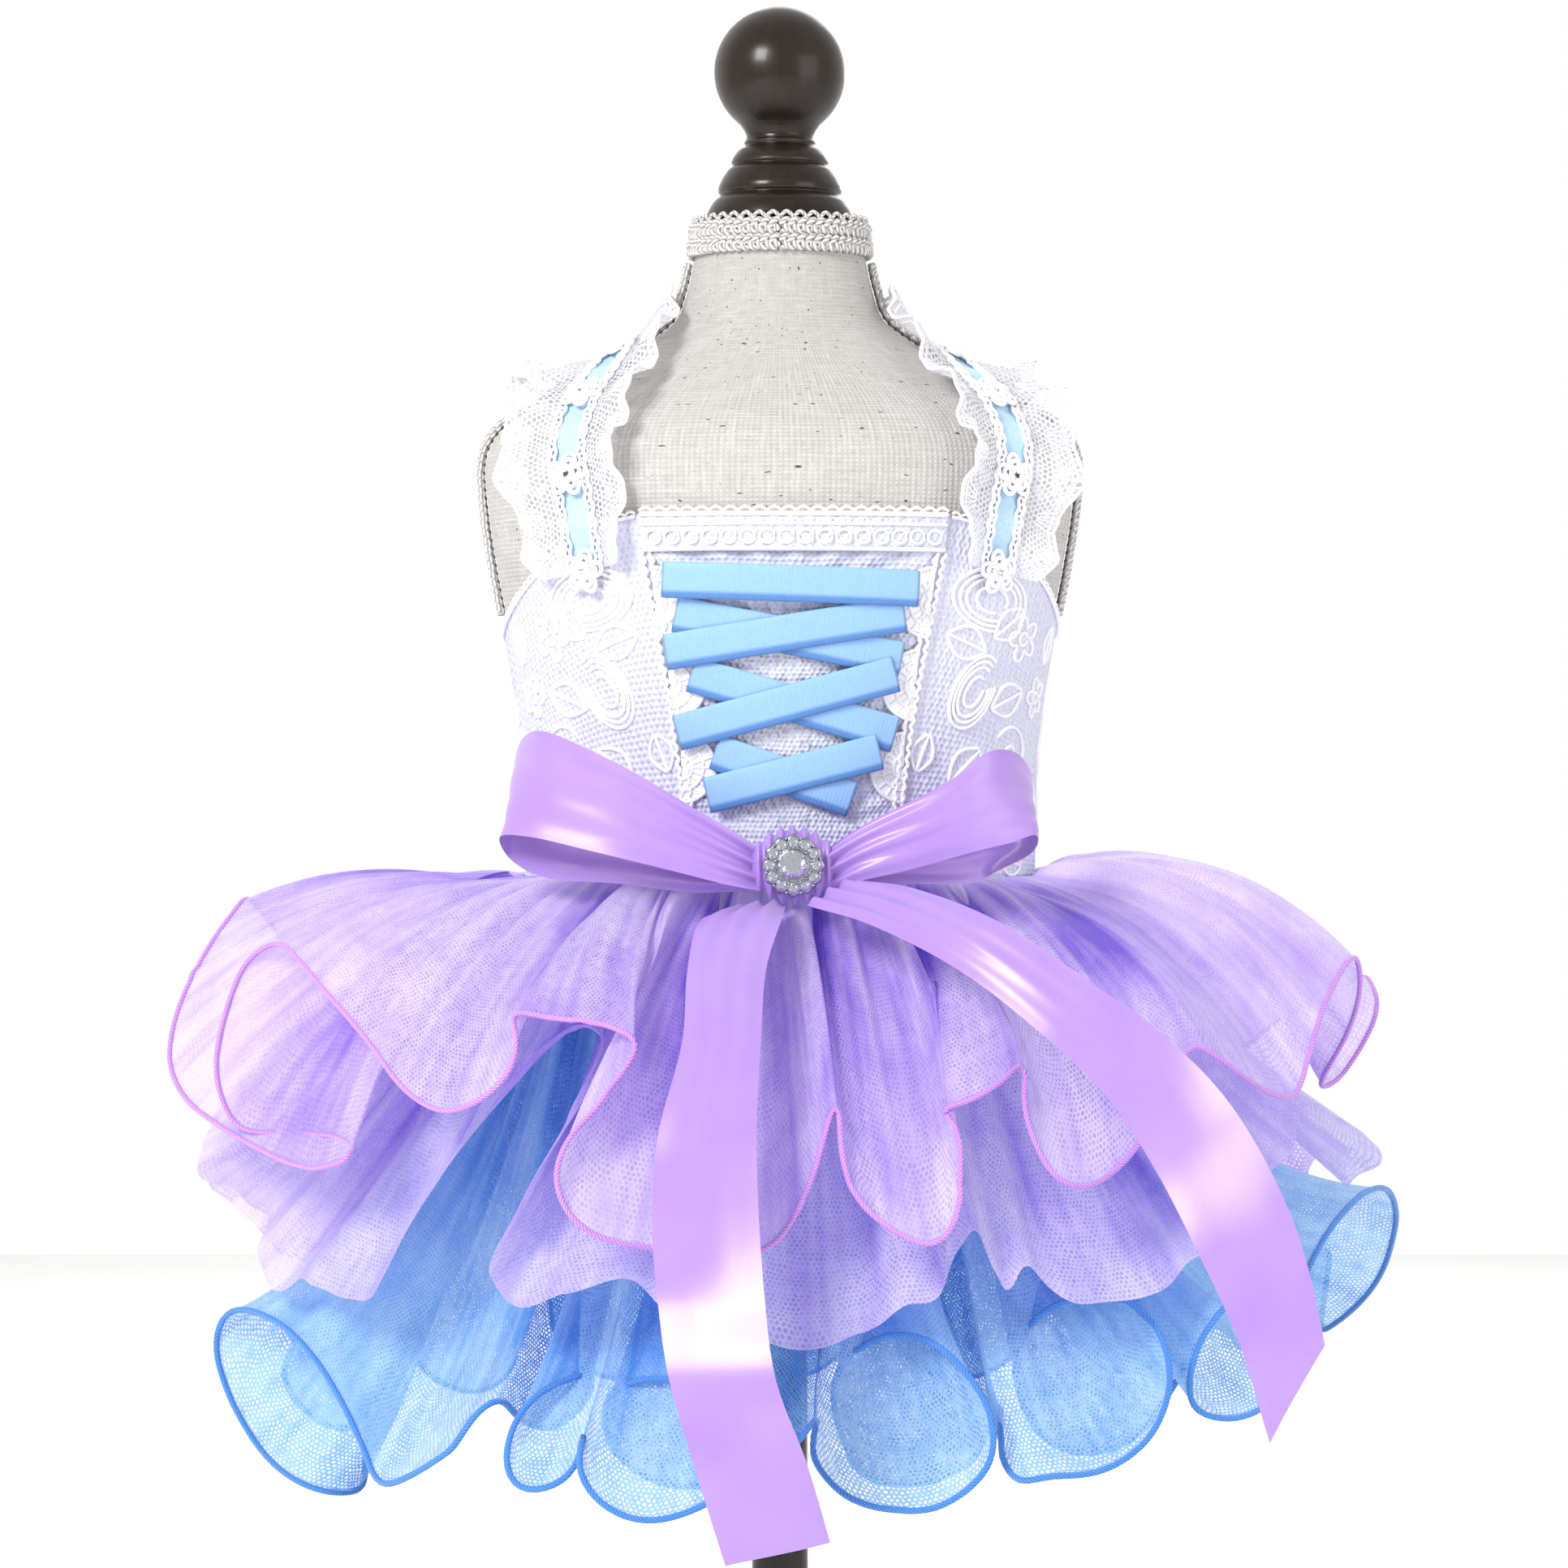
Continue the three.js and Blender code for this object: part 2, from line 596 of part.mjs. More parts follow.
// The heights of neighbouring flutes meet at the ridge between them.
function layerPoint(layer, index, at, share) {
  const { flutes } = layer;
  const turns = ridgeTurns(layer);
  const around = (n) => (n + flutes.length) % flutes.length;
  const grown = layer.waistSwing + (1 - layer.waistSwing) * share ** layer.grow;
  const swingOf = (n) => flutes[around(n)].swing * grown * layer.swingShare;
  const chordOf = (n) => {
    const start = fallPoint(layer, turns[around(n)], share);
    return start.distanceTo(fallPoint(layer, turns[around(n) + 1], share));
  };
  const size = (n) => flute(swingOf(n), layer.bottom, 0).peak * chordOf(n) * flutes[around(n)].tall;
  const own = flute(swingOf(index), layer.bottom, at);
  const ridge = (size(index) + size(index + (at < 0.5 ? -1 : 1))) / 2;
  const near = Math.cos(Math.PI * at) ** 2;
  const scale = lerp(size(index), ridge, near) / own.peak;
  const turn = turns[index] + own.along * flutes[index].width;
  return fallPoint(layer, turn, share)
    .addScaledVector(fallNormal(layer, turn, share), own.height * scale);
}

const SEAM = 0.006;   // share of a flute's cloth left open at a panel's seam

function skirt() {
  for (const [name, layer] of Object.entries(LAYERS)) {
    const columns = fluteColumns(layer);
    for (const [panel, first, last] of layer.panels) {
      const grid = range(layer.rows).map((share) => {
        const row = [];
        for (let index = first; index < last; index++) {
          const shown = columns.slice(index === first ? 0 : 1);
          for (const column of shown) {
            const low = index === first ? SEAM : 0;
            const high = index === last - 1 ? 1 - SEAM : 1;
            const at = THREE.MathUtils.clamp(column, low, high);
            row.push(layerPoint(layer, index, at, share));
          }
        }
        return row;
      });
      add(`${name}_${panel}`, wall(grid, TULLE), layer.colour, 0.7);
    }
  }
}

// ---------- bow ----------

const KNOT = { x: 3.2, y: -66, z: 231, wide: 6.4, deep: 4.6, high: 8 };

// The ribbon's middle, half its width and the lean of its width from upright, in degrees.
const LEFT_LOOP = [
  { x: -5, y: -67.0, z: 230, half: 5, lean: 0 },
  { x: -16, y: -70.5, z: 235, half: 8.5, lean: -14 },
  { x: -32, y: -72.5, z: 242, half: 11.5, lean: -20 },
  { x: -47, y: -70.5, z: 248, half: 12.5, lean: -22 },
  { x: -59, y: -64.5, z: 251, half: 12.5, lean: -22 },
  { x: -67, y: -56.5, z: 249, half: 12.5, lean: -14 },
  { x: -66, y: -50.5, z: 244, half: 12, lean: 0 },
  { x: -55, y: -52, z: 239, half: 11, lean: 10 },
  { x: -38, y: -57, z: 236, half: 9.5, lean: 8 },
  { x: -20, y: -61.5, z: 232, half: 7.5, lean: 4 },
  { x: -5, y: -63.0, z: 230, half: 5, lean: 0 },
];
const RIGHT_LOOP = [
  { x: 11.4, y: -67.0, z: 230, half: 5, lean: 0 },
  { x: 21, y: -70, z: 235, half: 8.5, lean: 22 },
  { x: 34, y: -71, z: 240, half: 11.5, lean: 26 },
  { x: 46, y: -69, z: 244, half: 12.5, lean: 18 },
  { x: 56, y: -63, z: 243.5, half: 12, lean: 4 },
  { x: 61.5, y: -55.5, z: 240, half: 11, lean: -10 },
  { x: 57, y: -50.5, z: 237.5, half: 10.5, lean: -12 },
  { x: 44, y: -54.5, z: 236, half: 9.5, lean: -8 },
  { x: 28, y: -60, z: 234, half: 7.5, lean: -4 },
  { x: 11.4, y: -63.0, z: 230, half: 5, lean: 0 },
];
// Tail 1 falls straight down the front and tail 2 sweeps to the right.
const TAIL_1 = [
  { x: -5, y: -68.5, z: 221.5, half: 6.5, lean: 90, twist: 0 },
  { x: -9, y: -84, z: 219, half: 9.5, lean: 90, twist: 0 },
  { x: -12, y: -101, z: 208, half: 9, lean: 90, twist: 6 },
  { x: -13, y: -119, z: 192, half: 9, lean: 90, twist: 10 },
  { x: -16, y: -132, z: 172, half: 11, lean: 90, twist: 6 },
  { x: -16.3, y: -140, z: 154, half: 11.8, lean: 90, twist: 0 },
  { x: -15, y: -146, z: 137, half: 12.1, lean: 90, twist: -4 },
  { x: -12.6, y: -149, z: 120, half: 11.8, lean: 90, twist: -6 },
  { x: -7.3, y: -150, z: 102, half: 11.7, lean: 90, twist: -6 },
  { x: -0.4, y: -149, z: 80, half: 11.6, lean: 87, twist: 0 },
];
const TAIL_2 = [
  { x: 12, y: -72, z: 225, half: 6, lean: 68, twist: 0 },
  { x: 26, y: -86, z: 222, half: 7, lean: 55, twist: 0 },
  { x: 45, y: -104, z: 214, half: 8, lean: 42, twist: 0 },
  { x: 64, y: -118, z: 203, half: 9.5, lean: 42, twist: 0 },
  { x: 81, y: -127, z: 188, half: 11, lean: 48, twist: 0 },
  { x: 93, y: -132, z: 170, half: 11.6, lean: 56, twist: 0 },
  { x: 102, y: -134, z: 150, half: 11.0, lean: 66, twist: 0 },
  { x: 109, y: -135, z: 130, half: 10.0, lean: 72, twist: 0 },
  { x: 113, y: -135, z: 108, half: 8.8, lean: 76, twist: 0 },
];
const BOW_STEPS = { loop: 3, tail: 2 };

// A curve through a table's places, with the other columns read along it.
function ribbon(rows, steps, columns) {
  const curve = new THREE.CatmullRomCurve3(
    rows.map((row) => new THREE.Vector3(row.x, row.y, row.z)), false, 'centripetal');
  const numbered = rows.map((row, n) => ({ ...row, n, twist: row.twist ?? 0 }));
  const count = (rows.length - 1) * steps;
  return range(count).map((t) => {
    const n = t * (rows.length - 1);
    const half = readTable(numbered, 'n', 'half', n);
    const lean = rad(readTable(numbered, 'n', 'lean', n));
    const twist = rad(readTable(numbered, 'n', 'twist', n));
    const across = new THREE.Vector3(
      Math.sin(lean) * Math.cos(twist), Math.sin(lean) * Math.sin(twist), Math.cos(lean));
    const middle = curve.getPoint(t);
    return range(columns).map((c) => middle.clone().addScaledVector(across, lerp(-half, half, c)));
  });
}

function bow() {
  add('bow_loop_left', wall(ribbon(LEFT_LOOP, BOW_STEPS.loop, 2), CLOTH), COLOUR.orchid, 0.35);
  add('bow_loop_right', wall(ribbon(RIGHT_LOOP, BOW_STEPS.loop, 2), CLOTH), COLOUR.orchid, 0.35);
  add('bow_tail_front', wall(ribbon(TAIL_1, BOW_STEPS.tail, 2), CLOTH), COLOUR.orchid, 0.35);
  add('bow_tail_side', wall(ribbon(TAIL_2, BOW_STEPS.tail, 2), CLOTH), COLOUR.orchid, 0.35);
  const ball = new THREE.SphereGeometry(1, 12, 8);
  ball.scale(KNOT.wide, KNOT.deep, KNOT.high);
  const knot = add('bow_knot', ball, COLOUR.orchid, 0.35);
  knot.position.set(KNOT.x, KNOT.y, KNOT.z);
}

// The brooch: a silver cup with a domed centre stone.
const SETTING = [[0, 0], [7.1, 0], [7.1, 1.4], [6.0, 2.2], [3.9, 2.2], [3.9, 1.6], [0, 1.6]];
const STONE = [[0, 0], [3.4, 0], [3.4, 1.2], [2.4, 2.6], [0, 3.0]];

function brooch() {
  const face = KNOT.y - KNOT.deep - GAP;
  const disc = (rows, count) => {
    const scale = BROOCH_RADIUS / SETTING[1][0];
    const geometry = new THREE.LatheGeometry(
      rows.map(([r, depth]) => new THREE.Vector2(r * scale, depth)), count);
    geometry.rotateX(Math.PI);
    return geometry;
  };
  const setting = add('brooch_setting', disc(SETTING, 24), COLOUR.silver, 0.2, 1);
  setting.position.set(KNOT.x, face, KNOT.z);
  const stone = add('brooch_stone', disc(STONE, 14), COLOUR.crystal, 0.05);
  stone.position.set(KNOT.x, face - SETTING[6][1] - GAP, KNOT.z);
}

torso();
cap();
stand();
braids();
bodice();
neckBand();
edgings();
lacing();
straps();
skirt();
bow();
brooch();

export default dress;
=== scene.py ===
# %% [markdown]
# # A small dog's tutu dress on its dress form
# The dress is a lace bodice with ribbon lacing, two lace straps, a satin bow with a brooch and a
# skirt of three tulle layers. It is worn by a linen dress form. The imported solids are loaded
# first and stay where they are, so every piece below is made at its own place around them.

# %% Load the fixed frame
import math

import bpy
import numpy as np
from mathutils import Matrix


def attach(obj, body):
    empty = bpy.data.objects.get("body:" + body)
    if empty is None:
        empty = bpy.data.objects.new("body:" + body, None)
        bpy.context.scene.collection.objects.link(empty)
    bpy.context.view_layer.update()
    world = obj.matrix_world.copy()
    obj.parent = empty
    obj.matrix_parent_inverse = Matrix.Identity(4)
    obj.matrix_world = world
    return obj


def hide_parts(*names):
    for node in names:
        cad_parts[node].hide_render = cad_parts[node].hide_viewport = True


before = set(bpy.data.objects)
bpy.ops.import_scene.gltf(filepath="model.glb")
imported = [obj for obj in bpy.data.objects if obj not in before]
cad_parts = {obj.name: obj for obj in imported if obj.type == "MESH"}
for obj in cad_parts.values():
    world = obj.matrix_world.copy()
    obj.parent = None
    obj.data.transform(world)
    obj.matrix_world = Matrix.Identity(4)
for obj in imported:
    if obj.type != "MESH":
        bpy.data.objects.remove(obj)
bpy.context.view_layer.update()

# %% [markdown]
# ## Numbers
# A dressmaker thinks in millimetres and Blender in metres, so the script works in millimetres
# and scales once, when a mesh is made. Shapes come from short tables with named columns, and a
# smooth curve is read through each column. Splines in Blender could do the same, but a table
# keeps each size in sight and lets a grid of thousands of places be worked out at once.

# %% Tables and smooth curves
MM = 0.001
TURN = 3.0   # degrees that the dress is turned on its form
rng = np.random.default_rng(11)


def table(names, *rows):
    """One array of numbers for each named column."""
    return dict(zip(names.split(), np.array(rows, float).T))


def smooth(keys, values, at):
    """A smooth curve through values at keys, read at one or many places."""
    keys, values = np.asarray(keys, float), np.asarray(values, float)
    last = len(keys) - 1
    n = np.arange(last + 1)
    before, after = np.maximum(n - 1, 0), np.minimum(n + 1, last)
    slope = (values[after] - values[before]) / (keys[after] - keys[before])
    at = np.clip(at, keys[0], keys[last])
    i = np.clip(np.searchsorted(keys, at, side="right") - 1, 0, last - 1)
    step = keys[i + 1] - keys[i]
    t = (at - keys[i]) / step
    return (
        (2 * t**3 - 3 * t**2 + 1) * values[i]
        + (t**3 - 2 * t**2 + t) * step * slope[i]
        + (3 * t**2 - 2 * t**3) * values[i + 1]
        + (t**3 - t**2) * step * slope[i + 1]
    )


def unit(vectors):
    """Vectors of length one, each in the same direction."""
    length = np.linalg.norm(vectors, axis=-1, keepdims=True)
    return vectors / np.maximum(length, 1e-9)


def run_along(line):
    """The length walked along a line, up to each of its places."""
    return np.concatenate([[0], np.cumsum(np.linalg.norm(np.diff(line, axis=0), axis=1))])


def curve_keys(knots):
    """Keys for a smooth curve through places. Roots of the gaps keep it from swinging wide."""
    return np.concatenate([[0], np.cumsum(np.sqrt(np.linalg.norm(np.diff(knots, axis=0), axis=1)))])


def through(keys, places, at):
    """A smooth curve through places in space."""
    return np.stack([smooth(keys, places[:, axis], at) for axis in range(3)], axis=-1)


def ease(value):
    """A soft step from 0 to 1."""
    value = np.clip(value, 0, 1)
    return value * value * (3 - 2 * value)


# %% [markdown]
# ## Meshes
# Nearly all of this object is cloth or cord. Cloth is a grid of places, and a cord is a tube along
# a line. Both carry a UV map in millimetres of cloth, so a weave keeps its real size however the
# cloth bends. Small pieces of one kind are joined to one mesh, as embroidery is one thread.

# %% Grids, tubes and joined meshes
CLOTH_MAP = "cloth_mm"


def grid_faces(rows, columns, ring=False):
    """The four-sided faces of a grid of places. A ring's last column meets its first."""
    i, j = np.meshgrid(np.arange(rows - 1), np.arange(columns - (not ring)), indexing="ij")
    after = (j + 1) % columns
    corners = [i * columns + j, (i + 1) * columns + j, (i + 1) * columns + after, i * columns + after]
    return np.stack(corners, axis=-1).reshape(-1, 4)


def make(name, part, material, body="root", smooth_faces=True, attributes=None):
    """A mesh object from (places in mm, faces, UV in mm) that rides on the dress."""
    places, faces, uv = part
    mesh = bpy.data.meshes.new(name)
    mesh.from_pydata((np.asarray(places) * MM).tolist(), [], [list(map(int, f)) for f in faces])
    corner = np.empty(len(mesh.loops), np.int32)
    mesh.loops.foreach_get("vertex_index", corner)
    layer = mesh.uv_layers.new(name=CLOTH_MAP)
    layer.uv.foreach_set("vector", np.asarray(uv, np.float32)[corner].ravel())
    for key, values in (attributes or {}).items():
        made = mesh.attributes.new(key, "FLOAT", "POINT")
        made.data.foreach_set("value", np.asarray(values, np.float32).ravel())
    mesh.polygons.foreach_set("use_smooth", [smooth_faces] * len(mesh.polygons))
    piece = bpy.data.objects.new(name, mesh)
    bpy.context.collection.objects.link(piece)
    mesh.materials.append(material)
    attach(piece, body)
    return piece


def cloth_part(grid, uv=None):
    """A sheet through a grid of places, rows down the cloth and columns across it."""
    rows, columns = grid.shape[:2]
    if uv is None:
        across = np.linalg.norm(np.diff(grid, axis=1), axis=2).mean(axis=0)
        down = np.linalg.norm(np.diff(grid, axis=0), axis=2).mean(axis=1)
        u = np.concatenate([[0], np.cumsum(across)])
        v = np.concatenate([[0], np.cumsum(down)])
        uv = np.stack(np.meshgrid(u, v), axis=-1)
    return grid.reshape(-1, 3), grid_faces(rows, columns), uv.reshape(-1, 2)


def tube_part(line, up, radius, sides=8, ring=False):
    """A round cord along a line. Up points off what it lies on. Its free ends are drawn to a tip."""
    line = np.asarray(line, float)
    up = np.broadcast_to(np.asarray(up, float), line.shape)
    if ring:
        ahead = unit(np.roll(line, -1, axis=0) - np.roll(line, 1, axis=0))
        line, ahead, up = (np.concatenate([a, a[:1]]) for a in (line, ahead, up))
    else:
        ahead = unit(np.gradient(line, axis=0))
    side = unit(np.cross(ahead, up))
    lift = np.cross(side, ahead)
    thick = np.full(len(line), radius, float)
    if not ring:
        thick[[0, -1]] *= 0.1
    angle = 2 * np.pi * np.arange(sides) / sides
    circle = np.cos(angle)[None, :, None] * side[:, None] + np.sin(angle)[None, :, None] * lift[:, None]
    places = line[:, None] + circle * thick[:, None, None]
    run = run_along(line)
    uv = np.stack(np.meshgrid(angle * radius, run), axis=-1)
    return places.reshape(-1, 3), grid_faces(len(line), sides, ring=True), uv.reshape(-1, 2)


def joined(parts):
    """Several parts as one."""
    places, faces, maps, start = [], [], [], 0
    for part in parts:
        places.append(part[0])
        maps.append(part[2])
        faces.extend((np.asarray(face) + start).tolist() for face in part[1])
        start += len(part[0])
    return np.concatenate(places), faces, np.concatenate(maps)


def grid_normal(grid):
    """The direction off each place of a grid, towards the viewer where the cloth faces them."""
    return unit(np.cross(np.gradient(grid, axis=0), np.gradient(grid, axis=1)))


print("mesh tools ready")

# %% [markdown]
# ## Colours and shader nodes
# A colour is given as an sRGB hex value, while light is added up in linear numbers, so one
# function turns one into the other. One more adds a shader node and links what goes into it.

# %% Colour and node tools


def shade(code):
    """An sRGB hex colour in the linear numbers that light uses."""
    parts = [int(code[n : n + 2], 16) / 255 for n in (1, 3, 5)]
    return [c / 12.92 if c <= 0.04045 else ((c + 0.055) / 1.055) ** 2.4 for c in parts] + [1.0]


def add(tree, kind, inputs=None, **settings):
    """Adds a shader node. Inputs are numbers, colours or other nodes' outputs."""
    node = tree.nodes.new("ShaderNode" + kind)
    for name, value in settings.items():
        setattr(node, name, value)
    for name, value in (inputs or {}).items():
        if isinstance(value, bpy.types.NodeSocket):
            tree.links.new(value, node.inputs[name])
        else:
            node.inputs[name].default_value = value
    return node


def new_material(name):
    """An empty material and its node tree."""
    material = bpy.data.materials.new(name)
    material.use_nodes = True
    material.node_tree.nodes.clear()
    return material, material.node_tree


def finish(tree, surface):
    """Links the last shader to the material's output."""
    add(tree, "OutputMaterial", {"Surface": surface})


def finished(material, look):
    """The material with one plain shader that looks as told."""
    tree = material.node_tree
    finish(tree, add(tree, "BsdfPrincipled", look).outputs[0])
    return material


def cloth_place(tree):
    """Where a point lies on its cloth, in mm."""
    return add(tree, "UVMap", uv_map=CLOTH_MAP).outputs["UV"]


def stretched(tree, place, by):
    """A place scaled along each axis, which draws a pattern out."""
    return add(tree, "VectorMath", {0: place, 1: by}, operation="MULTIPLY").outputs[0]


def calc(tree, operation, *values):
    """One sum on one or two numbers."""
    return add(tree, "Math", dict(enumerate(values)), operation=operation).outputs[0]


def blend(tree, share, one, other):
    """A colour between two, as far as the share says."""
    return add(tree, "Mix", {0: share, 6: one, 7: other}, data_type="RGBA").outputs[2]


print("white lace in linear light:", [round(c, 3) for c in shade("#F6F4FB")])

# %% [markdown]
# ## Linen
# The form is covered in slubbed linen, a plain weave of uneven flax yarn. Each yarn is about
# 0.6 mm thick, drawn at 1.1 mm here so that it shows. Warp and weft waves are multiplied with
# slow noise, because flax yarn swells and thins, and dark specks stand for bits of straw.

# %% Linen material
LINEN_YARN = 1.1   # mm from one yarn to the next


def linen():
    material, tree = new_material("slubbed_linen")
    place = cloth_place(tree)
    axes = add(tree, "SeparateXYZ", {0: place})
    streaks = []
    for stretch in ((0.09, 1.1, 1), (1.1, 0.09, 1)):
        along = stretched(tree, place, stretch)
        noise = add(tree, "TexNoise", {"Vector": along, "Scale": 1.0, "Detail": 3, "Roughness": 0.7})
        streaks.append(noise.outputs[0])
    waves = []
    for axis in "XY":
        turns = add(tree, "Math", {0: axes.outputs[axis], 1: math.pi / LINEN_YARN}, operation="MULTIPLY")
        wave = calc(tree, "SINE", turns.outputs[0])
        waves.append(calc(tree, "MULTIPLY", wave, wave))
    weave = calc(tree, "MULTIPLY", waves[0], waves[1])
    slubs = calc(tree, "MAXIMUM", streaks[0], streaks[1])
    base = add(tree, "MapRange", {0: slubs, 1: 0.42, 2: 0.72}).outputs[0]
    yarn = blend(tree, base, shade("#C3BFBB"), shade("#DDDAD7"))
    # Along the gaps between the yarns the colour is painted darker, a painted shade between them.
    gaps = add(tree, "MapRange", {0: weave, 1: 0.0, 2: 0.35, 3: 0.8, 4: 1.0}).outputs[0]
    woven = add(tree, "Mix", {0: 1.0, 6: yarn, 7: gaps}, data_type="RGBA", blend_type="MULTIPLY")
    long_speck = stretched(tree, place, (0.35, 0.75, 1))
    speck = add(tree, "TexNoise", {"Vector": long_speck, "Scale": 1.0, "Detail": 1}).outputs[0]
    straw = add(tree, "MapRange", {0: speck, 1: 0.715, 2: 0.75}).outputs[0]
    colour = blend(tree, straw, woven.outputs[2], shade("#5B5148"))
    height = calc(tree, "ADD", weave, slubs)
    bump = add(tree, "Bump", {"Strength": 0.7, "Distance": 0.35 * MM, "Height": height})
    look = {
        "Base Color": colour,
        "Roughness": 0.9,
        "Specular IOR Level": 0.2,
        "Sheen Weight": 0.15,
        "Normal": bump.outputs[0],
    }
    return finished(material, look)


LINEN = linen()
print("linen yarn every", LINEN_YARN, "mm")

# %% [markdown]
# ## Ebonised wood
# The cap, ball, pole and foot are turned wood, stained nearly black and lacquered. Turning leaves
# fine rings round the axis, and the stain rubs thin on the ridges, where brown wood shows.

# %% Ebonised wood material


def ebonised_wood():
    material, tree = new_material("ebonised_wood")
    place = add(tree, "TexCoord").outputs["Object"]
    grain_place = stretched(tree, place, (1, 1, 0.12))
    grain = add(tree, "TexNoise", {"Vector": grain_place, "Scale": 420.0, "Detail": 5, "Roughness": 0.6})
    worn = add(tree, "TexNoise", {"Vector": place, "Scale": 60.0, "Detail": 3}).outputs[0]
    ridge = add(tree, "NewGeometry").outputs["Pointiness"]
    thin = add(tree, "MapRange", {0: ridge, 1: 0.505, 2: 0.56, 3: 0.0, 4: 0.9}).outputs[0]
    rubbed = calc(tree, "MULTIPLY", thin, worn)
    stain = blend(tree, grain.outputs[0], shade("#0E0A08"), shade("#2A1F18"))
    colour = blend(tree, rubbed, stain, shade("#5C4634"))
    rough = add(tree, "MapRange", {0: worn, 1: 0.3, 2: 0.7, 3: 0.22, 4: 0.36}).outputs[0]
    bump = add(tree, "Bump", {"Strength": 0.25, "Distance": 0.15 * MM, "Height": grain.outputs[0]})
    look = {
        "Base Color": colour,
        "Roughness": rough,
        "IOR": 1.5,
        "Specular IOR Level": 0.3,
        "Coat Weight": 0.15,
        "Coat Roughness": 0.12,
        "Normal": bump.outputs[0],
    }
    return finished(material, look)


WOOD = ebonised_wood()
print("ebonised wood ready")

# %% [markdown]
# ## Cotton cord and corded lace
# Gimp braid, picot loops and the raised lines of the lace are soft white cotton cord. The strands
# of a cord are twisted, so fine slanting ridges run round it, one each 0.9 to 1.5 mm. The grooves
# between the strands are painted darker, a painted shade.
# The same function serves the dyed thread that is wrapped over the skirt's rolled hems.

# %% Cord materials


def twisted_cord(name, light, dark, pitch, rough=0.75, twist=0.6):
    material, tree = new_material(name)
    axes = add(tree, "SeparateXYZ", {0: cloth_place(tree)})
    slant = calc(tree, "ADD", axes.outputs["Y"], axes.outputs["X"])
    turns = calc(tree, "MULTIPLY", slant, 2 * math.pi / pitch)
    ridge = calc(tree, "SINE", turns)
    # The grooves between the strands get the darker colour, a painted shade, and the ridges the lighter one.
    tone = add(tree, "MapRange", {0: ridge, 1: -1.0, 2: 0.6}).outputs[0]
    colour = blend(tree, tone, shade(dark), shade(light))
    bump = add(tree, "Bump", {"Strength": twist, "Distance": 0.2 * MM, "Height": ridge})
    look = {
        "Base Color": colour,
        "Roughness": rough,
        "Sheen Weight": 0.3,
        "Normal": bump.outputs[0],
    }
    return finished(material, look)


# Each cord's second colour is the painted shade in the grooves of its twist.
COTTON_CORD = twisted_cord("cotton_gimp_cord", "#E9E7E6", "#9F9B9A", pitch=1.5)
LACE_CORD = twisted_cord("rayon_lace_cord", "#FFFEFF", "#F6F5FB", pitch=0.9, rough=0.5, twist=0.25)
ORCHID_THREAD = twisted_cord("orchid_hem_thread", "#DDA4F2", "#B877E0", pitch=1.0, rough=0.5)
BLUE_THREAD = twisted_cord("blue_hem_thread", "#4E9BEF", "#2F76D2", pitch=1.0, rough=0.5)
print("cords ready")

# %% [markdown]
# ## Lace cloth
# The bodice is machine lace laid on a lilac-white satin lining that shines through it. The ground
# is a fine net with faint ribs, and the flowers and scrolls on it are real raised cords, made
# further down. The straps' frills are the same lace with no lining, so their net has open holes.

# %% Lace materials


def hole_field(tree, place, cell):
    """High in the middle of each hole of a six-sided net whose holes are a cell apart."""
    total = None
    for angle in (30, 150, 270):
        reach = 2 * math.pi / (cell * math.cos(math.radians(30)))
        way = (reach * math.cos(math.radians(angle)), reach * math.sin(math.radians(angle)), 0)
        turns = add(tree, "VectorMath", {0: place, 1: way}, operation="DOT_PRODUCT").outputs["Value"]
        wave = calc(tree, "COSINE", turns)
        total = wave if total is None else calc(tree, "ADD", total, wave)
    return total


def drifting(tree, place, size, amount):
    """The same place, pushed about a little, so that a machine pattern looks handled."""
    noise = add(tree, "TexNoise", {"Vector": place, "Scale": 1 / size, "Detail": 2})
    centred = add(tree, "VectorMath", {0: noise.outputs[1], 1: (0.5, 0.5, 0.5)}, operation="SUBTRACT")
    pushed = add(tree, "VectorMath", {0: centred.outputs[0], "Scale": amount}, operation="SCALE")
    return add(tree, "VectorMath", {0: place, 1: pushed.outputs[0]}, operation="ADD").outputs[0]


LACE_CELL = 1.5   # mm between the net's holes
RIB = 2.4         # mm between the ribs of the bodice's ground


def lined_lace():
    material, tree = new_material("lace_on_satin_lining")
    place = cloth_place(tree)
    moved = drifting(tree, place, 9.0, 1.2)
    holes = hole_field(tree, moved, LACE_CELL)
    across = add(tree, "SeparateXYZ", {0: moved}).outputs["X"]
    turns = calc(tree, "MULTIPLY", across, 2 * math.pi / RIB)
    ribs = calc(tree, "SINE", turns)
    open_share = add(tree, "MapRange", {0: holes, 1: -0.3, 2: 1.2, 3: 0.0, 4: 0.55}).outputs[0]
    cloud = add(tree, "TexNoise", {"Vector": place, "Scale": 0.16, "Detail": 4, "Roughness": 0.65}).outputs[0]
    dense = add(tree, "MapRange", {0: cloud, 1: 0.35, 2: 0.62, 3: 1.0, 4: 0.25}).outputs[0]
    lining = calc(tree, "MULTIPLY", open_share, dense)
    colour = blend(tree, lining, shade("#E5E7F5"), shade("#C6C7E8"))
    thin = add(tree, "MapRange", {0: ribs, 1: -1.0, 2: 0.4, 3: 0.55, 4: 0.0}).outputs[0]
    ribbed = blend(tree, thin, colour, shade("#D2D3EE"))
    low_ribs = calc(tree, "MULTIPLY", ribs, 1.1)
    height = calc(tree, "SUBTRACT", low_ribs, holes)
    bump = add(tree, "Bump", {"Strength": 0.5, "Distance": 0.25 * MM, "Height": height})
    look = {
        "Base Color": ribbed,
        "Roughness": 0.6,
        "Sheen Weight": 0.2,
        "Normal": bump.outputs[0],
    }
    return finished(material, look)


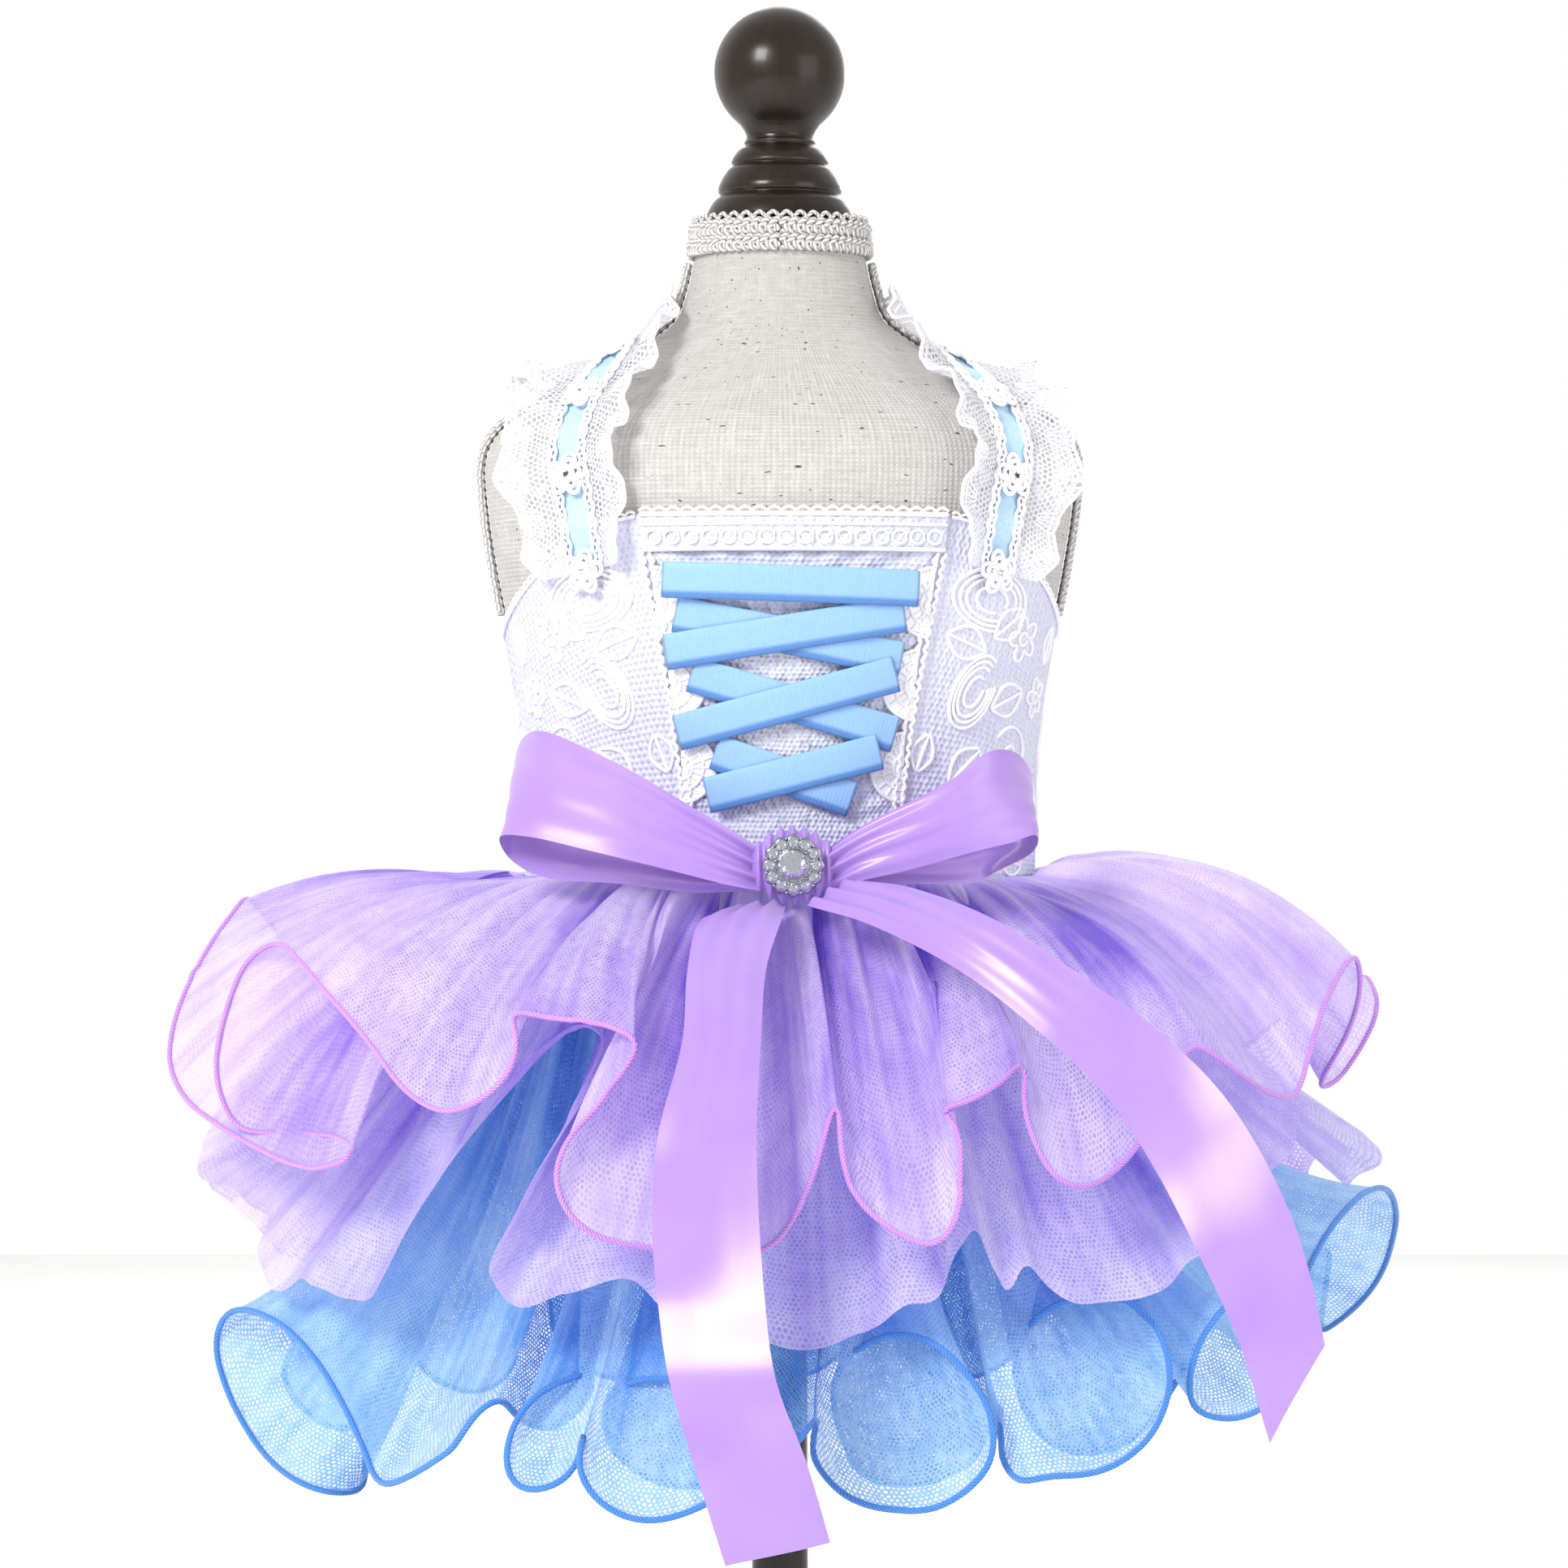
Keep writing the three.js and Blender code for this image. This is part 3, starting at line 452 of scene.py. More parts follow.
def net_cloth(name, light, deep, cell, hole_alpha, through, gathered=False, fold_shadow_colour=None):
    """Net: threads, holes that let light by, patches where it lies closer, a glow from behind, and in
    gathered tulle painted shade in its folds.
    """
    material, tree = new_material(name)
    place = cloth_place(tree)
    holes = hole_field(tree, drifting(tree, place, 6.0, 2.2), cell)
    soft_edge = add(tree, "MapRange", {0: holes, 1: -0.5, 2: 0.6}, interpolation_type="SMOOTHSTEP")
    patchy = add(tree, "TexNoise", {"Vector": place, "Scale": 0.32, "Detail": 2}).outputs[0]
    even = add(tree, "MapRange", {0: patchy, 1: 0.32, 2: 0.66, 3: 0.35, 4: 1.2}).outputs[0]
    open_share = calc(tree, "MULTIPLY", soft_edge.outputs[0], even)
    if gathered:
        gather = add(tree, "Attribute", attribute_name="gather").outputs["Fac"]
        loose = calc(tree, "SUBTRACT", 1.0, gather)
        open_share = calc(tree, "MULTIPLY", open_share, loose)
    alpha = add(tree, "MapRange", {0: open_share, 3: 1.0, 4: hole_alpha}).outputs[0]
    cloud = add(tree, "TexNoise", {"Vector": place, "Scale": 0.07, "Detail": 3}).outputs[0]
    tone = add(tree, "MapRange", {0: cloud, 1: 0.35, 2: 0.7, 4: 0.45}).outputs[0]
    if gathered:
        # Painted fold shading: a number that is larger in the troughs and on each flute's inner side deepens
        # the colour as shade and lightens the ridges. Streaks down the cloth add painted pleat shade.
        painted_fold_shading = add(tree, "Attribute", attribute_name="painted_fold_shading").outputs["Fac"]
        down_cloth = add(tree, "VectorMath", {0: place, 1: (0.22, 0.016, 1)}, operation="MULTIPLY")
        pleat_streak_noise = add(tree, "TexNoise", {"Vector": down_cloth.outputs[0], "Scale": 1.0, "Detail": 2}).outputs[0]
        painted_pleat_streaks = add(tree, "MapRange", {0: pleat_streak_noise, 1: 0.3, 2: 0.7, 3: -0.3, 4: 0.3}).outputs[0]
        painted_fold_and_streak_shading = calc(tree, "ADD", painted_fold_shading, painted_pleat_streaks)
        tone = calc(tree, "ADD", tone, painted_fold_and_streak_shading)
    colour = blend(tree, tone, shade(light), shade(deep))
    if gathered:
        # Where the painted shade runs deepest, the colour goes over to the painted fold shadow colour.
        deepest_shade_share = add(tree, "MapRange", {0: tone, 1: 1.0, 2: 1.7}).outputs[0]
        colour = blend(tree, deepest_shade_share, colour, shade(fold_shadow_colour))
    bump = add(tree, "Bump", {"Strength": 0.4, "Distance": 0.2 * MM, "Height": alpha})
    thread = add(
        tree,
        "BsdfPrincipled",
        {"Base Color": colour, "Roughness": 0.55, "Sheen Weight": 0.25, "Normal": bump.outputs[0]},
    )
    glow = add(tree, "BsdfTranslucent", {"Color": colour, "Normal": bump.outputs[0]})
    cloth = add(tree, "MixShader", {0: through, 1: thread.outputs[0], 2: glow.outputs[0]})
    gap = add(tree, "BsdfTransparent")
    surface = add(tree, "MixShader", {0: alpha, 1: gap.outputs[0], 2: cloth.outputs[0]})
    finish(tree, surface.outputs[0])
    return material


LACE = lined_lace()
SHEER_LACE = net_cloth("sheer_lace_net", "#FAF9FF", "#E4E0F2", LACE_CELL, hole_alpha=0.25, through=0.35)
print("lace net holes every", LACE_CELL, "mm")

# %% [markdown]
# ## Tulle
# The skirt is stiff nylon tulle, a six-sided net with holes of about 1 mm, drawn at 1.3 mm so
# that they show. Where it is gathered at the waist the net lies many times over itself and
# closes up, so a number on each place of the mesh says how gathered it is. A second number
# paints shade into the folds and light onto the ridges, and streaks down the cloth paint pleat shade.

# %% Tulle materials
TULLE_CELL = 1.3
# The last colour of each tulle is the painted shadow in its deepest folds.
LILAC_TULLE = net_cloth("lilac_nylon_tulle", "#F0E1FE", "#BFA3F1", TULLE_CELL, 0.48, 0.4, True, "#7B5DD6")
BLUE_TULLE = net_cloth("blue_nylon_tulle", "#AFDAFC", "#5FA2E8", TULLE_CELL, 0.32, 0.4, True, "#3A74D0")
print("tulle holes every", TULLE_CELL, "mm")

# %% [markdown]
# ## Ribbons
# The bow is polyester satin ribbon. Satin floats long warp threads on its face, so it shines
# along the ribbon in broad soft bands. The lacing is a flat matte ribbon with fine ribs across.

# %% Ribbon materials


def satin():
    material, tree = new_material("orchid_polyester_satin")
    place = cloth_place(tree)
    long_place = stretched(tree, place, (1.4, 0.05, 1))
    floats = add(tree, "TexNoise", {"Vector": long_place, "Scale": 2.0, "Detail": 2}).outputs[0]
    cloud = add(tree, "TexNoise", {"Vector": place, "Scale": 0.05, "Detail": 1}).outputs[0]
    colour = blend(tree, cloud, shade("#B592DC"), shade("#A27AD0"))
    bump = add(tree, "Bump", {"Strength": 0.15, "Distance": 0.1 * MM, "Height": floats})
    tangent = add(tree, "Tangent", direction_type="UV_MAP", uv_map=CLOTH_MAP)
    look = {
        "Base Color": colour,
        "Roughness": 0.33,
        "Specular IOR Level": 0.8,
        "Anisotropic": 0.5,
        "Sheen Weight": 0.2,
        "Normal": bump.outputs[0],
        "Tangent": tangent.outputs[0],
    }
    return finished(material, look)


RIBBON_RIB = 0.9   # mm between the ribs; real ones are half as wide


def ribbed_ribbon(name, light, deep):
    material, tree = new_material(name)
    axes = add(tree, "SeparateXYZ", {0: cloth_place(tree)})
    turns = calc(tree, "MULTIPLY", axes.outputs["X"], 2 * math.pi / RIBBON_RIB)
    rib = calc(tree, "SINE", turns)
    cloud = add(tree, "TexNoise", {"Scale": 90.0, "Detail": 2}).outputs[0]
    tone = add(tree, "MapRange", {0: cloud, 1: 0.35, 2: 0.7}).outputs[0]
    cloth = blend(tree, tone, shade(light), shade(deep))
    # The edge number marks where a painted shadow runs along a ribbon's edge. The dark blue is that shadow.
    edge = add(tree, "Attribute", attribute_name="edge").outputs["Fac"]
    colour = blend(tree, edge, cloth, shade("#4379BC"))
    bump = add(tree, "Bump", {"Strength": 0.2, "Distance": 0.1 * MM, "Height": rib})
    look = {
        "Base Color": colour,
        "Roughness": 0.55,
        "Sheen Weight": 0.2,
        "Normal": bump.outputs[0],
    }
    return finished(material, look)


SATIN = satin()
SKY_RIBBON = ribbed_ribbon("sky_blue_taffeta_ribbon", "#99C3F1", "#86B3EA")
PALE_RIBBON = ribbed_ribbon("pale_blue_taffeta_ribbon", "#C4DFF4", "#A9D0EE")
print("satin and lacing ribbon ready")

# %% [markdown]
# ## Silver plate and cut glass
# The brooch is cast white metal with bright plating, set with foil-backed glass stones. The foil
# throws light back through the facets, so the stone is mostly a mirror, with a clear coat for
# the polished glass over it. Its colour is painted in tiny cells of light and dark, as painted glints.

# %% Brooch materials


def plated_silver():
    material, tree = new_material("bright_silver_plate")
    wear = add(tree, "TexNoise", {"Scale": 900.0, "Detail": 3}).outputs[0]
    rough = add(tree, "MapRange", {0: wear, 3: 0.12, 4: 0.3}).outputs[0]
    bump = add(tree, "Bump", {"Strength": 0.2, "Distance": 0.05 * MM, "Height": wear})
    look = {"Base Color": shade("#A9ABB2"), "Metallic": 1.0, "Roughness": rough, "Normal": bump.outputs[0]}
    return finished(material, look)


def foiled_glass():
    material, tree = new_material("foil_backed_glass")
    # Tiny random cells of light and dark colour are painted glints and dark reflections of the facets.
    glint_cells = add(tree, "TexVoronoi", {"Scale": 700.0}).outputs["Color"]
    bright = add(tree, "SeparateXYZ", {0: glint_cells}).outputs["X"]
    glint_share = add(tree, "MapRange", {0: bright, 1: 0.35, 2: 0.6}).outputs[0]
    painted_glint_colour = blend(tree, glint_share, shade("#6F7683"), shade("#F7F9FF"))
    look = {
        "Base Color": painted_glint_colour,
        "Metallic": 0.85,
        "Roughness": 0.05,
        "Coat Weight": 1.0,
        "Coat Roughness": 0.02,
    }
    return finished(material, look)


SILVER = plated_silver()
GLASS = foiled_glass()
print("brooch materials ready")

# %% [markdown]
# ## Studio
# A pale floor, a white backdrop and soft lamps. The room is bright behind the dress and dimmer in
# front of it, so that folds keep their shape. A large lamp at the upper left gives the satin its
# bright bands, and a weaker one at the right opens the shadows.

# %% Floor, lights and camera
FLOOR_SIZE = 3.0
ROOM_FRONT = 0.62    # how bright the room is in front, when the backdrop is 1
CAMERA_PLACE = (0.001, -1.3, 0.25)
LENS = 121
SENSOR = 36


def studio():
    bpy.context.scene.view_settings.view_transform = "Standard"
    world = bpy.data.worlds.new("white_room")
    bpy.context.scene.world = world
    world.use_nodes = True
    room = world.node_tree
    room.nodes["Background"].inputs["Color"].default_value = (1, 1, 1, 1)
    way = add(room, "SeparateXYZ", {0: add(room, "TexCoord").outputs["Generated"]}).outputs["Y"]
    glow = add(room, "MapRange", {0: way, 1: -0.3, 2: 0.6, 3: ROOM_FRONT, 4: 1.0}).outputs[0]
    room.links.new(glow, room.nodes["Background"].inputs["Strength"])

    paper, tree = new_material("pale_paper_floor")
    fibre = add(tree, "TexNoise", {"Scale": 140.0, "Detail": 4}).outputs[0]
    bump = add(tree, "Bump", {"Strength": 0.1, "Distance": 0.3 * MM, "Height": fibre})
    sheet = add(
        tree,
        "BsdfPrincipled",
        {"Base Color": shade("#FDFCFB"), "Roughness": 0.85, "Normal": bump.outputs[0]},
    )
    finish(tree, sheet.outputs[0])
    half = FLOOR_SIZE / 2
    corners = [(-half, -half, 0), (half, -half, 0), (half, half, 0), (-half, half, 0)]
    mesh = bpy.data.meshes.new("floor")
    mesh.from_pydata(corners, [], [(0, 1, 2, 3)])
    mesh.materials.append(paper)
    floor = bpy.data.objects.new("floor", mesh)
    bpy.context.collection.objects.link(floor)

    lamps = [
        ("key", (-0.7, -1.0, 0.95), 0.45, 15.0),
        ("fill", (1.1, -0.9, 0.5), 0.9, 5.0),
        ("back", (0.2, 1.2, 0.9), 0.8, 5.0),
    ]
    for name, place, size, power in lamps:
        light = bpy.data.lights.new(name, "AREA")
        light.size = size
        light.energy = power
        lamp = bpy.data.objects.new(name, light)
        lamp.location = place
        towards = np.array([0, 0, 0.22]) - np.array(place)
        level = math.hypot(towards[0], towards[1])
        lamp.rotation_euler = (
            math.pi / 2 + math.atan2(towards[2], level),
            0,
            math.atan2(towards[1], towards[0]) - math.pi / 2,
        )
        bpy.context.collection.objects.link(lamp)

    eye = bpy.data.cameras.new("camera")
    eye.lens = LENS
    eye.sensor_width = SENSOR
    camera = bpy.data.objects.new("camera", eye)
    camera.location = CAMERA_PLACE
    camera.rotation_euler = (math.pi / 2, 0, 0)
    bpy.context.collection.objects.link(camera)
    bpy.context.scene.camera = camera


studio()
print("camera at", CAMERA_PLACE, "with a", LENS, "mm lens")

# %% [markdown]
# ## Torso
# The form is a smooth padded torso. Its half width and half depth at each height are the same
# as the solid's, and the finer mesh only rounds it. The linen is pulled tight, so it has no folds.

# %% Torso
TORSO = table(
    "z wide deep",
    (190, 57.0, 45.0),
    (205, 60.5, 47.5),
    (231, 61.3, 48.5),
    (261, 62.3, 49.5),
    (285, 66.0, 52.0),
    (303, 69.5, 53.5),
    (320, 72.0, 52.5),
    (331, 72.0, 49.0),
    (338, 67.5, 44.5),
    (345, 57.0, 38.0),
    (352, 43.5, 32.0),
    (358, 33.5, 27.5),
    (364, 25.8, 24.0),
    (372, 22.6, 22.2),
    (380, 21.0, 21.0),
    (388, 20.2, 20.2),
)
TORSO_TOP = 387.8
TORSO_BOTTOM = 190.0


def on_torso(turn, z, out=0.0):
    """A place on the torso, turned from the front towards +X and moved out level."""
    turn, z, out = np.broadcast_arrays(np.asarray(turn, float), z, out)
    wide = smooth(TORSO["z"], TORSO["wide"], z) + out
    deep = smooth(TORSO["z"], TORSO["deep"], z) + out
    angle = np.radians(turn)
    return np.stack([wide * np.sin(angle), -deep * np.cos(angle), z], axis=-1)


def torso_normal(turn, z):
    along = on_torso(np.asarray(turn) + 1, z) - on_torso(np.asarray(turn) - 1, z)
    up = on_torso(turn, np.asarray(z) + 0.7) - on_torso(turn, np.asarray(z) - 0.7)
    return unit(np.cross(along, up))


def off_torso(turn, z, out):
    """A place moved straight off the torso's skin."""
    return on_torso(turn, z) + torso_normal(turn, z) * np.asarray(out)[..., None]


def torso():
    turns = np.linspace(-180, 180, 145)
    heights = np.linspace(TORSO_TOP, TORSO_BOTTOM, 110)
    grid = on_torso(turns[None, :], heights[:, None])
    middle = on_torso(turns, TORSO_BOTTOM)
    for shrink in (0.97, 0.6, 0.15):
        ring = middle * [shrink, shrink, 1]
        grid = np.concatenate([grid, ring[None]])
    piece = make("form_torso_linen", cloth_part(grid), LINEN)
    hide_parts("form_torso")
    return piece


TORSO_PIECE = torso()
print("torso", [round(d * 1000) for d in TORSO_PIECE.dimensions], "mm")

# %% [markdown]
# ## Turned wood
# Cap, ball, pole and foot are lathe work: one outline spun round the axis. A screw modifier would
# do, but a grid of rings gives the same and keeps the grooves where the table puts them.

# %% Cap, ball, pole and foot
CAP_OUTLINE = table(
    "r z",
    (0, 388.3),
    (18.2, 388.3),
    (18.3, 389.4),
    (17.6, 391.4),
    (16.4, 393.4),
    (15.2, 394.5),
    (14.7, 395.1),
    (15.2, 395.9),
    (15.1, 397.2),
    (14.2, 399.2),
    (12.9, 401.2),
    (12.0, 402.0),
    (11.6, 402.5),
    (12.0, 403.2),
    (11.4, 404.6),
    (10.2, 406.2),
    (9.0, 407.0),
    (8.6, 407.5),
    (8.8, 408.1),
    (8.3, 408.9),
    (8.2, 409.8),
    (8.9, 411.3),
    (9.9, 412.7),
)
BALL_RADIUS = 16.2
BALL_Z = 425.6
FOOT_OUTLINE = table(
    "r z",
    (0, 0),
    (74.4, 0),
    (75, 0.8),
    (75, 6.2),
    (74.2, 8.4),
    (72.6, 10.0),
    (68.6, 11.9),
    (67.2, 13.6),
    (66.6, 15.6),
    (65.0, 17.4),
    (62.0, 18.0),
    (7.6, 18.0),
)


def spun(name, radius, height, material, node, sides=96):
    angle = np.linspace(0, 2 * np.pi, sides + 1)
    grid = np.stack(
        np.broadcast_arrays(
            radius[::-1, None] * np.sin(angle), -radius[::-1, None] * np.cos(angle), height[::-1, None]
        ),
        axis=-1,
    )
    piece = make(name, cloth_part(grid), material)
    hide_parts(node)
    return piece


def finer(outline, steps):
    """The outline with more places along each stretch, slightly rounded."""
    n = np.arange(len(outline["r"]))
    at = np.linspace(0, n[-1], steps)
    soft = 0.5
    return [
        soft * smooth(n, outline[key], at) + (1 - soft) * np.interp(at, n, outline[key]) for key in ("r", "z")
    ]


def turned_wood():
    cap_r, cap_z = finer(CAP_OUTLINE, 110)
    tilt = np.radians(np.linspace(-49, 90, 44))
    radius = np.concatenate([cap_r, BALL_RADIUS * np.cos(tilt)])
    height = np.concatenate([cap_z, BALL_Z + BALL_RADIUS * np.sin(tilt)])
    spun("form_cap_and_ball", np.maximum(radius, 0.01), height, WOOD, "form_cap_ball")
    pole_z = np.linspace(18.3, TORSO_BOTTOM - 0.3, 60)
    pole_r = 6.9 + 0.1 * np.cos((pole_z - 18.3) / 26)
    spun("form_turned_pole", pole_r, pole_z, WOOD, "form_pole", sides=48)
    foot_r, foot_z = finer(FOOT_OUTLINE, 60)
    spun("form_turned_foot", np.maximum(foot_r, 0.01), foot_z, WOOD, "form_base")


turned_wood()
print("ball", 2 * BALL_RADIUS, "mm across, foot", 2 * FOOT_OUTLINE["r"].max(), "mm across")

# %% [markdown]
# ## Gimp braid
# The braid round the neck and down the side seams is three cords plaited flat, with a row of
# small loops along one edge. Each cord swings from side to side and rises as it crosses, which
# is all that a flat plait is.

# %% Gimp braid
PLAIT = {"pitch": 6.4, "cord": 0.72, "rise": 0.8}


def plait(line, off, across, width, loops=True):
    """Parts of a flat plait along a line that lies on something, with picot loops."""
    run = run_along(line)
    repeats = max(round(run[-1] / PLAIT["pitch"]), 1)
    phase = 2 * np.pi * repeats * run / run[-1]
    parts = []
    for strand in range(3):
        swing = phase + strand * 2 * np.pi / 3
        side = np.sin(swing)[:, None] * (width / 2 - PLAIT["cord"])
        rise = (1 + np.sin(2 * swing))[:, None] * PLAIT["rise"] / 2
        parts.append(tube_part(line + across * side + off * (rise + PLAIT["cord"] * 0.6), off, PLAIT["cord"]))
    if loops:
        ripple = np.abs(np.sin(phase))[:, None] * 1.5
        edge = line + across * (width / 2 - 0.3 + ripple) + off * 0.6
        parts.append(tube_part(edge, off, 0.5, sides=6))
    return parts


def braids():
    turns = np.radians(np.linspace(0, 360, 520))
    radial = np.stack([np.sin(turns), -np.cos(turns), np.zeros_like(turns)], axis=-1)
    upright = np.broadcast_to([0, 0, 1.0], radial.shape)
    parts = []
    for radius, z in ((21.2, 381.6), (20.8, 385.6)):
        ring = radial * radius + [0, 0, z]
        parts += plait(ring, radial, upright, 4.4, loops=z > 384)
    neck = make("form_neck_gimp", joined(parts), COTTON_CORD)
    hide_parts("form_braid_neck")
    z = np.linspace(378, 292, 360)
    for name, turn in (("left", -90), ("right", 90)):
        line = off_torso(turn, z, np.full_like(z, 0.5))
        off = torso_normal(np.full_like(z, turn), z)
        across = unit(np.cross(np.gradient(line, axis=0), off))
        piece = make(f"form_side_gimp_{name}", joined(plait(line, off, across, 4.2)), COTTON_CORD)
        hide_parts(f"form_braid_{name}")


braids()
print("plait repeats every", PLAIT["pitch"], "mm")

# %% [markdown]
# ## Bodice
# The bodice is cut in five panels: a centre front, two fronts and two backs. Each is a thin sheet
# 1.5 mm off the linen. The centre panel is pleated lace that fans out behind the lacing, so its
# sheet has low ridges that run out from a few points on the centre line.

# %% Bodice panels
WAIST_Z = 226.0
NECKLINE_Z = 314.0
BODICE_OUT = 1.5
FIRST_LAYER = 2.0   # mm off the torso where pieces that lie on the bodice start
SIDE_SEAM = 100.0
CENTRE_TOP, CENTRE_WAIST = 29.5, 21.0
UPPER_EDGE = table(
    "turn z",
    (0, 314),
    (31, 314),
    (45, 309),
    (60, 300),
    (75, 292),
    (90, 287),
    (108, 287),
    (125, 294),
    (140, 303),
    (155, 306),
    (180, 306),
)
FAN_CENTRES = (275.0, 256.5, 238.0)
FAN_PLEATS = 26


def upper_edge(turn):
    return smooth(UPPER_EDGE["turn"], UPPER_EDGE["z"], np.abs(turn))


def centre_seam(z):
    share = (np.asarray(z, float) - WAIST_Z) / (NECKLINE_Z - WAIST_Z)
    return CENTRE_WAIST + (CENTRE_TOP - CENTRE_WAIST) * share


def side_seam(z):
    return np.full_like(np.asarray(z, float), SIDE_SEAM)


def back_seam(z):
    return np.full_like(np.asarray(z, float), 180.0)


def fan_relief(x, z):
    """Low ridges that spread like a shell's from the nearest point below."""
    relief = np.zeros_like(z)
    upper = NECKLINE_Z
    for centre in FAN_CENTRES:
        here = (z >= centre) & (z < upper)
        angle = np.arctan2(x, np.maximum(z - centre, 0.01))
        fade = ease(np.hypot(x, z - centre) / 5)
        relief = np.where(here, 0.5 * np.cos(FAN_PLEATS * angle) * fade, relief)
        upper = centre
    return relief


def bodice_panel(name, start, end, sign, fan=False, rows=90, columns=80):
    down = np.linspace(0, 1, rows)[:, None]
    across = np.linspace(0, 1, columns)[None, :]
    top_turn = start(NECKLINE_Z) + (end(NECKLINE_Z) - start(NECKLINE_Z)) * across
    top = upper_edge(top_turn)
    z = top + (WAIST_Z - top) * down
    turn = sign * (start(z) + (end(z) - start(z)) * across)
    relief = 0.12 * np.sin(np.radians(turn) * 2 * np.pi * 62 / RIB)
    if fan:
        relief = fan_relief(60 * np.sin(np.radians(turn)), z)
    grid = on_torso(turn + TURN, z, BODICE_OUT + relief)
    piece = make(name, cloth_part(grid), LACE)
    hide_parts(name.removesuffix("_lace"))
    return piece


def minus_centre(z):
    return -centre_seam(z)


bodice_panel("bodice_centre_lace", minus_centre, centre_seam, 1, fan=True)
for side_name, side_sign in (("right", 1), ("left", -1)):
    bodice_panel(f"bodice_front_{side_name}_lace", centre_seam, side_seam, side_sign)
    bodice_panel(f"bodice_back_{side_name}_lace", side_seam, back_seam, side_sign)

# %% [markdown]
# ## Raised lace
# Scrolls, leaves and small flowers are worked in cord on the side and back panels. They are
# ordinary lace motifs. Each is drawn flat in millimetres along and up the bodice, then laid on
# it, which is how an embroiderer would place a pattern on the cut panel.

# %% Places on the bodice
SPREAD = np.linspace(-200, 200, 801)
MID_BODICE_Z = 265.0
SPREAD_PLACES = on_torso(SPREAD, MID_BODICE_Z, BODICE_OUT)
SPREAD_RUN = run_along(SPREAD_PLACES)
SPREAD_RUN -= np.interp(0, SPREAD, SPREAD_RUN)
HALF_ROUND = float(np.interp(180, SPREAD, SPREAD_RUN))


def turn_at(along):
    """Turn from the centre front, for a length in mm along the bodice."""
    return np.interp(along, SPREAD_RUN, SPREAD)


def on_bodice(along, z, out):
    """Places on the bodice and the direction off it, kept inside its edges."""
    turn = turn_at(along)
    z = np.clip(z, WAIST_Z + 1, upper_edge(turn) - 1.2)
    return on_torso(turn + TURN, z, out), torso_normal(turn + TURN, z)


def laid_cord(along, z, radius, out=BODICE_OUT + 0.25, sides=6):
    places, off = on_bodice(np.asarray(along, float), np.asarray(z, float), out)
    return tube_part(places, off, radius, sides=sides)


print("bodice measures", round(2 * HALF_ROUND), "mm round at mid height")

# %% Lace motifs


def spiral(x, z, size, turns, start, hand):
    t = np.linspace(0, 1, 46)
    reach = size * (1 - 0.85 * t)
    angle = math.radians(start) + hand * 2 * np.pi * turns * t
    return [(x + reach * np.cos(angle), z + reach * np.sin(angle))]


def tilted(x, z, along, up, start):
    """A line drawn along and up from a place, turned about it by the start angle."""
    angle = math.radians(start)
    return (
        x + along * math.cos(angle) - up * math.sin(angle),
        z + along * math.sin(angle) + up * math.cos(angle),
    )


def swirl(x, z, size, start):
    """Nested long arcs, as in the scrolls of corded lace."""
    angle = np.linspace(math.radians(-20), math.radians(300), 60)
    lines = []
    for share in (1.0, 0.84, 0.68, 0.42):
        along, up = size * share * np.cos(angle), 0.62 * size * share * np.sin(angle)
        lines.append(tilted(x, z, along, up, start))
    return lines


def leaf(x, z, size, start):
    """Two bowed edges and a straight rib from one root."""
    t = np.linspace(0, 1, 18)
    lines = []
    for bulge in (0.3, -0.3, 0.0):
        lines.append(tilted(x, z, size * t, size * bulge * np.sin(np.pi * t), start))
    return lines


def flower(x, z, size, petals=5):
    angle = np.linspace(0, 2 * np.pi, 56)
    reach = size * (0.45 + 0.55 * np.abs(np.sin(petals * angle / 2)))
    inner = np.linspace(0, 2 * np.pi, 16)
    return [
        (x + reach * np.cos(angle), z + reach * np.sin(angle)),
        (x + 0.28 * size * np.cos(inner), z + 0.28 * size * np.sin(inner)),
    ]


MOTIFS = [
    # kind, mm along from the centre front, height, size, start angle, hand
    ("swirl", 48, 294, 11.5, -12, 1),
    ("leaf", 36, 286, 13, -20, 1),
    ("leaf", 50, 285, 12, 35, 1),
    ("flower", 61, 285, 5.6, 0, 1),
    ("swirl", 46, 272, 9.5, 60, 1),
    ("leaf", 52, 268, 13, 20, 1),
    ("leaf", 34, 262, 10, 250, 1),
    ("flower", 72, 271, 5.0, 0, 1),
    ("leaf", 74, 279, 10, 75, 1),
    ("spiral", 62, 257, 7.5, 150, -1),
    ("leaf", 40, 250, 13, 40, 1),
    ("flower", 38, 243, 4.6, 0, 1),
    ("leaf", 46, 238, 12, 15, 1),
    ("swirl", 74, 243, 9.0, 300, 1),
    ("leaf", 84, 252, 12, 80, 1),
    ("flower", 88, 240, 4.6, 0, 1),
    ("spiral", 92, 268, 7.5, 100, -1),
    ("leaf", 100, 256, 11, 300, 1),
    ("leaf", 58, 232, 11, -10, 1),
]


def motif_lines(kind, x, z, size, start, hand):
    if kind == "spiral":
        return spiral(x, z, size, 1.35, start, hand)
    if kind == "swirl":
        return swirl(x, z, size, start)
    if kind == "leaf":
        return leaf(x, z, size, start)
    return flower(x, z, size)


def raised_lace(name, sign, mirrored_from=None):
    """The motifs of one front panel, or of a back panel as the front's in a mirror."""
    parts = []
    for row in MOTIFS:
        for x, z in motif_lines(*row):
            if mirrored_from is not None:
                x = mirrored_from - x
                z = z - 5
            parts.append(laid_cord(sign * x, z, 0.5, out=BODICE_OUT + 0.12))
    piece = make(name, joined(parts), LACE_CORD)
    return piece


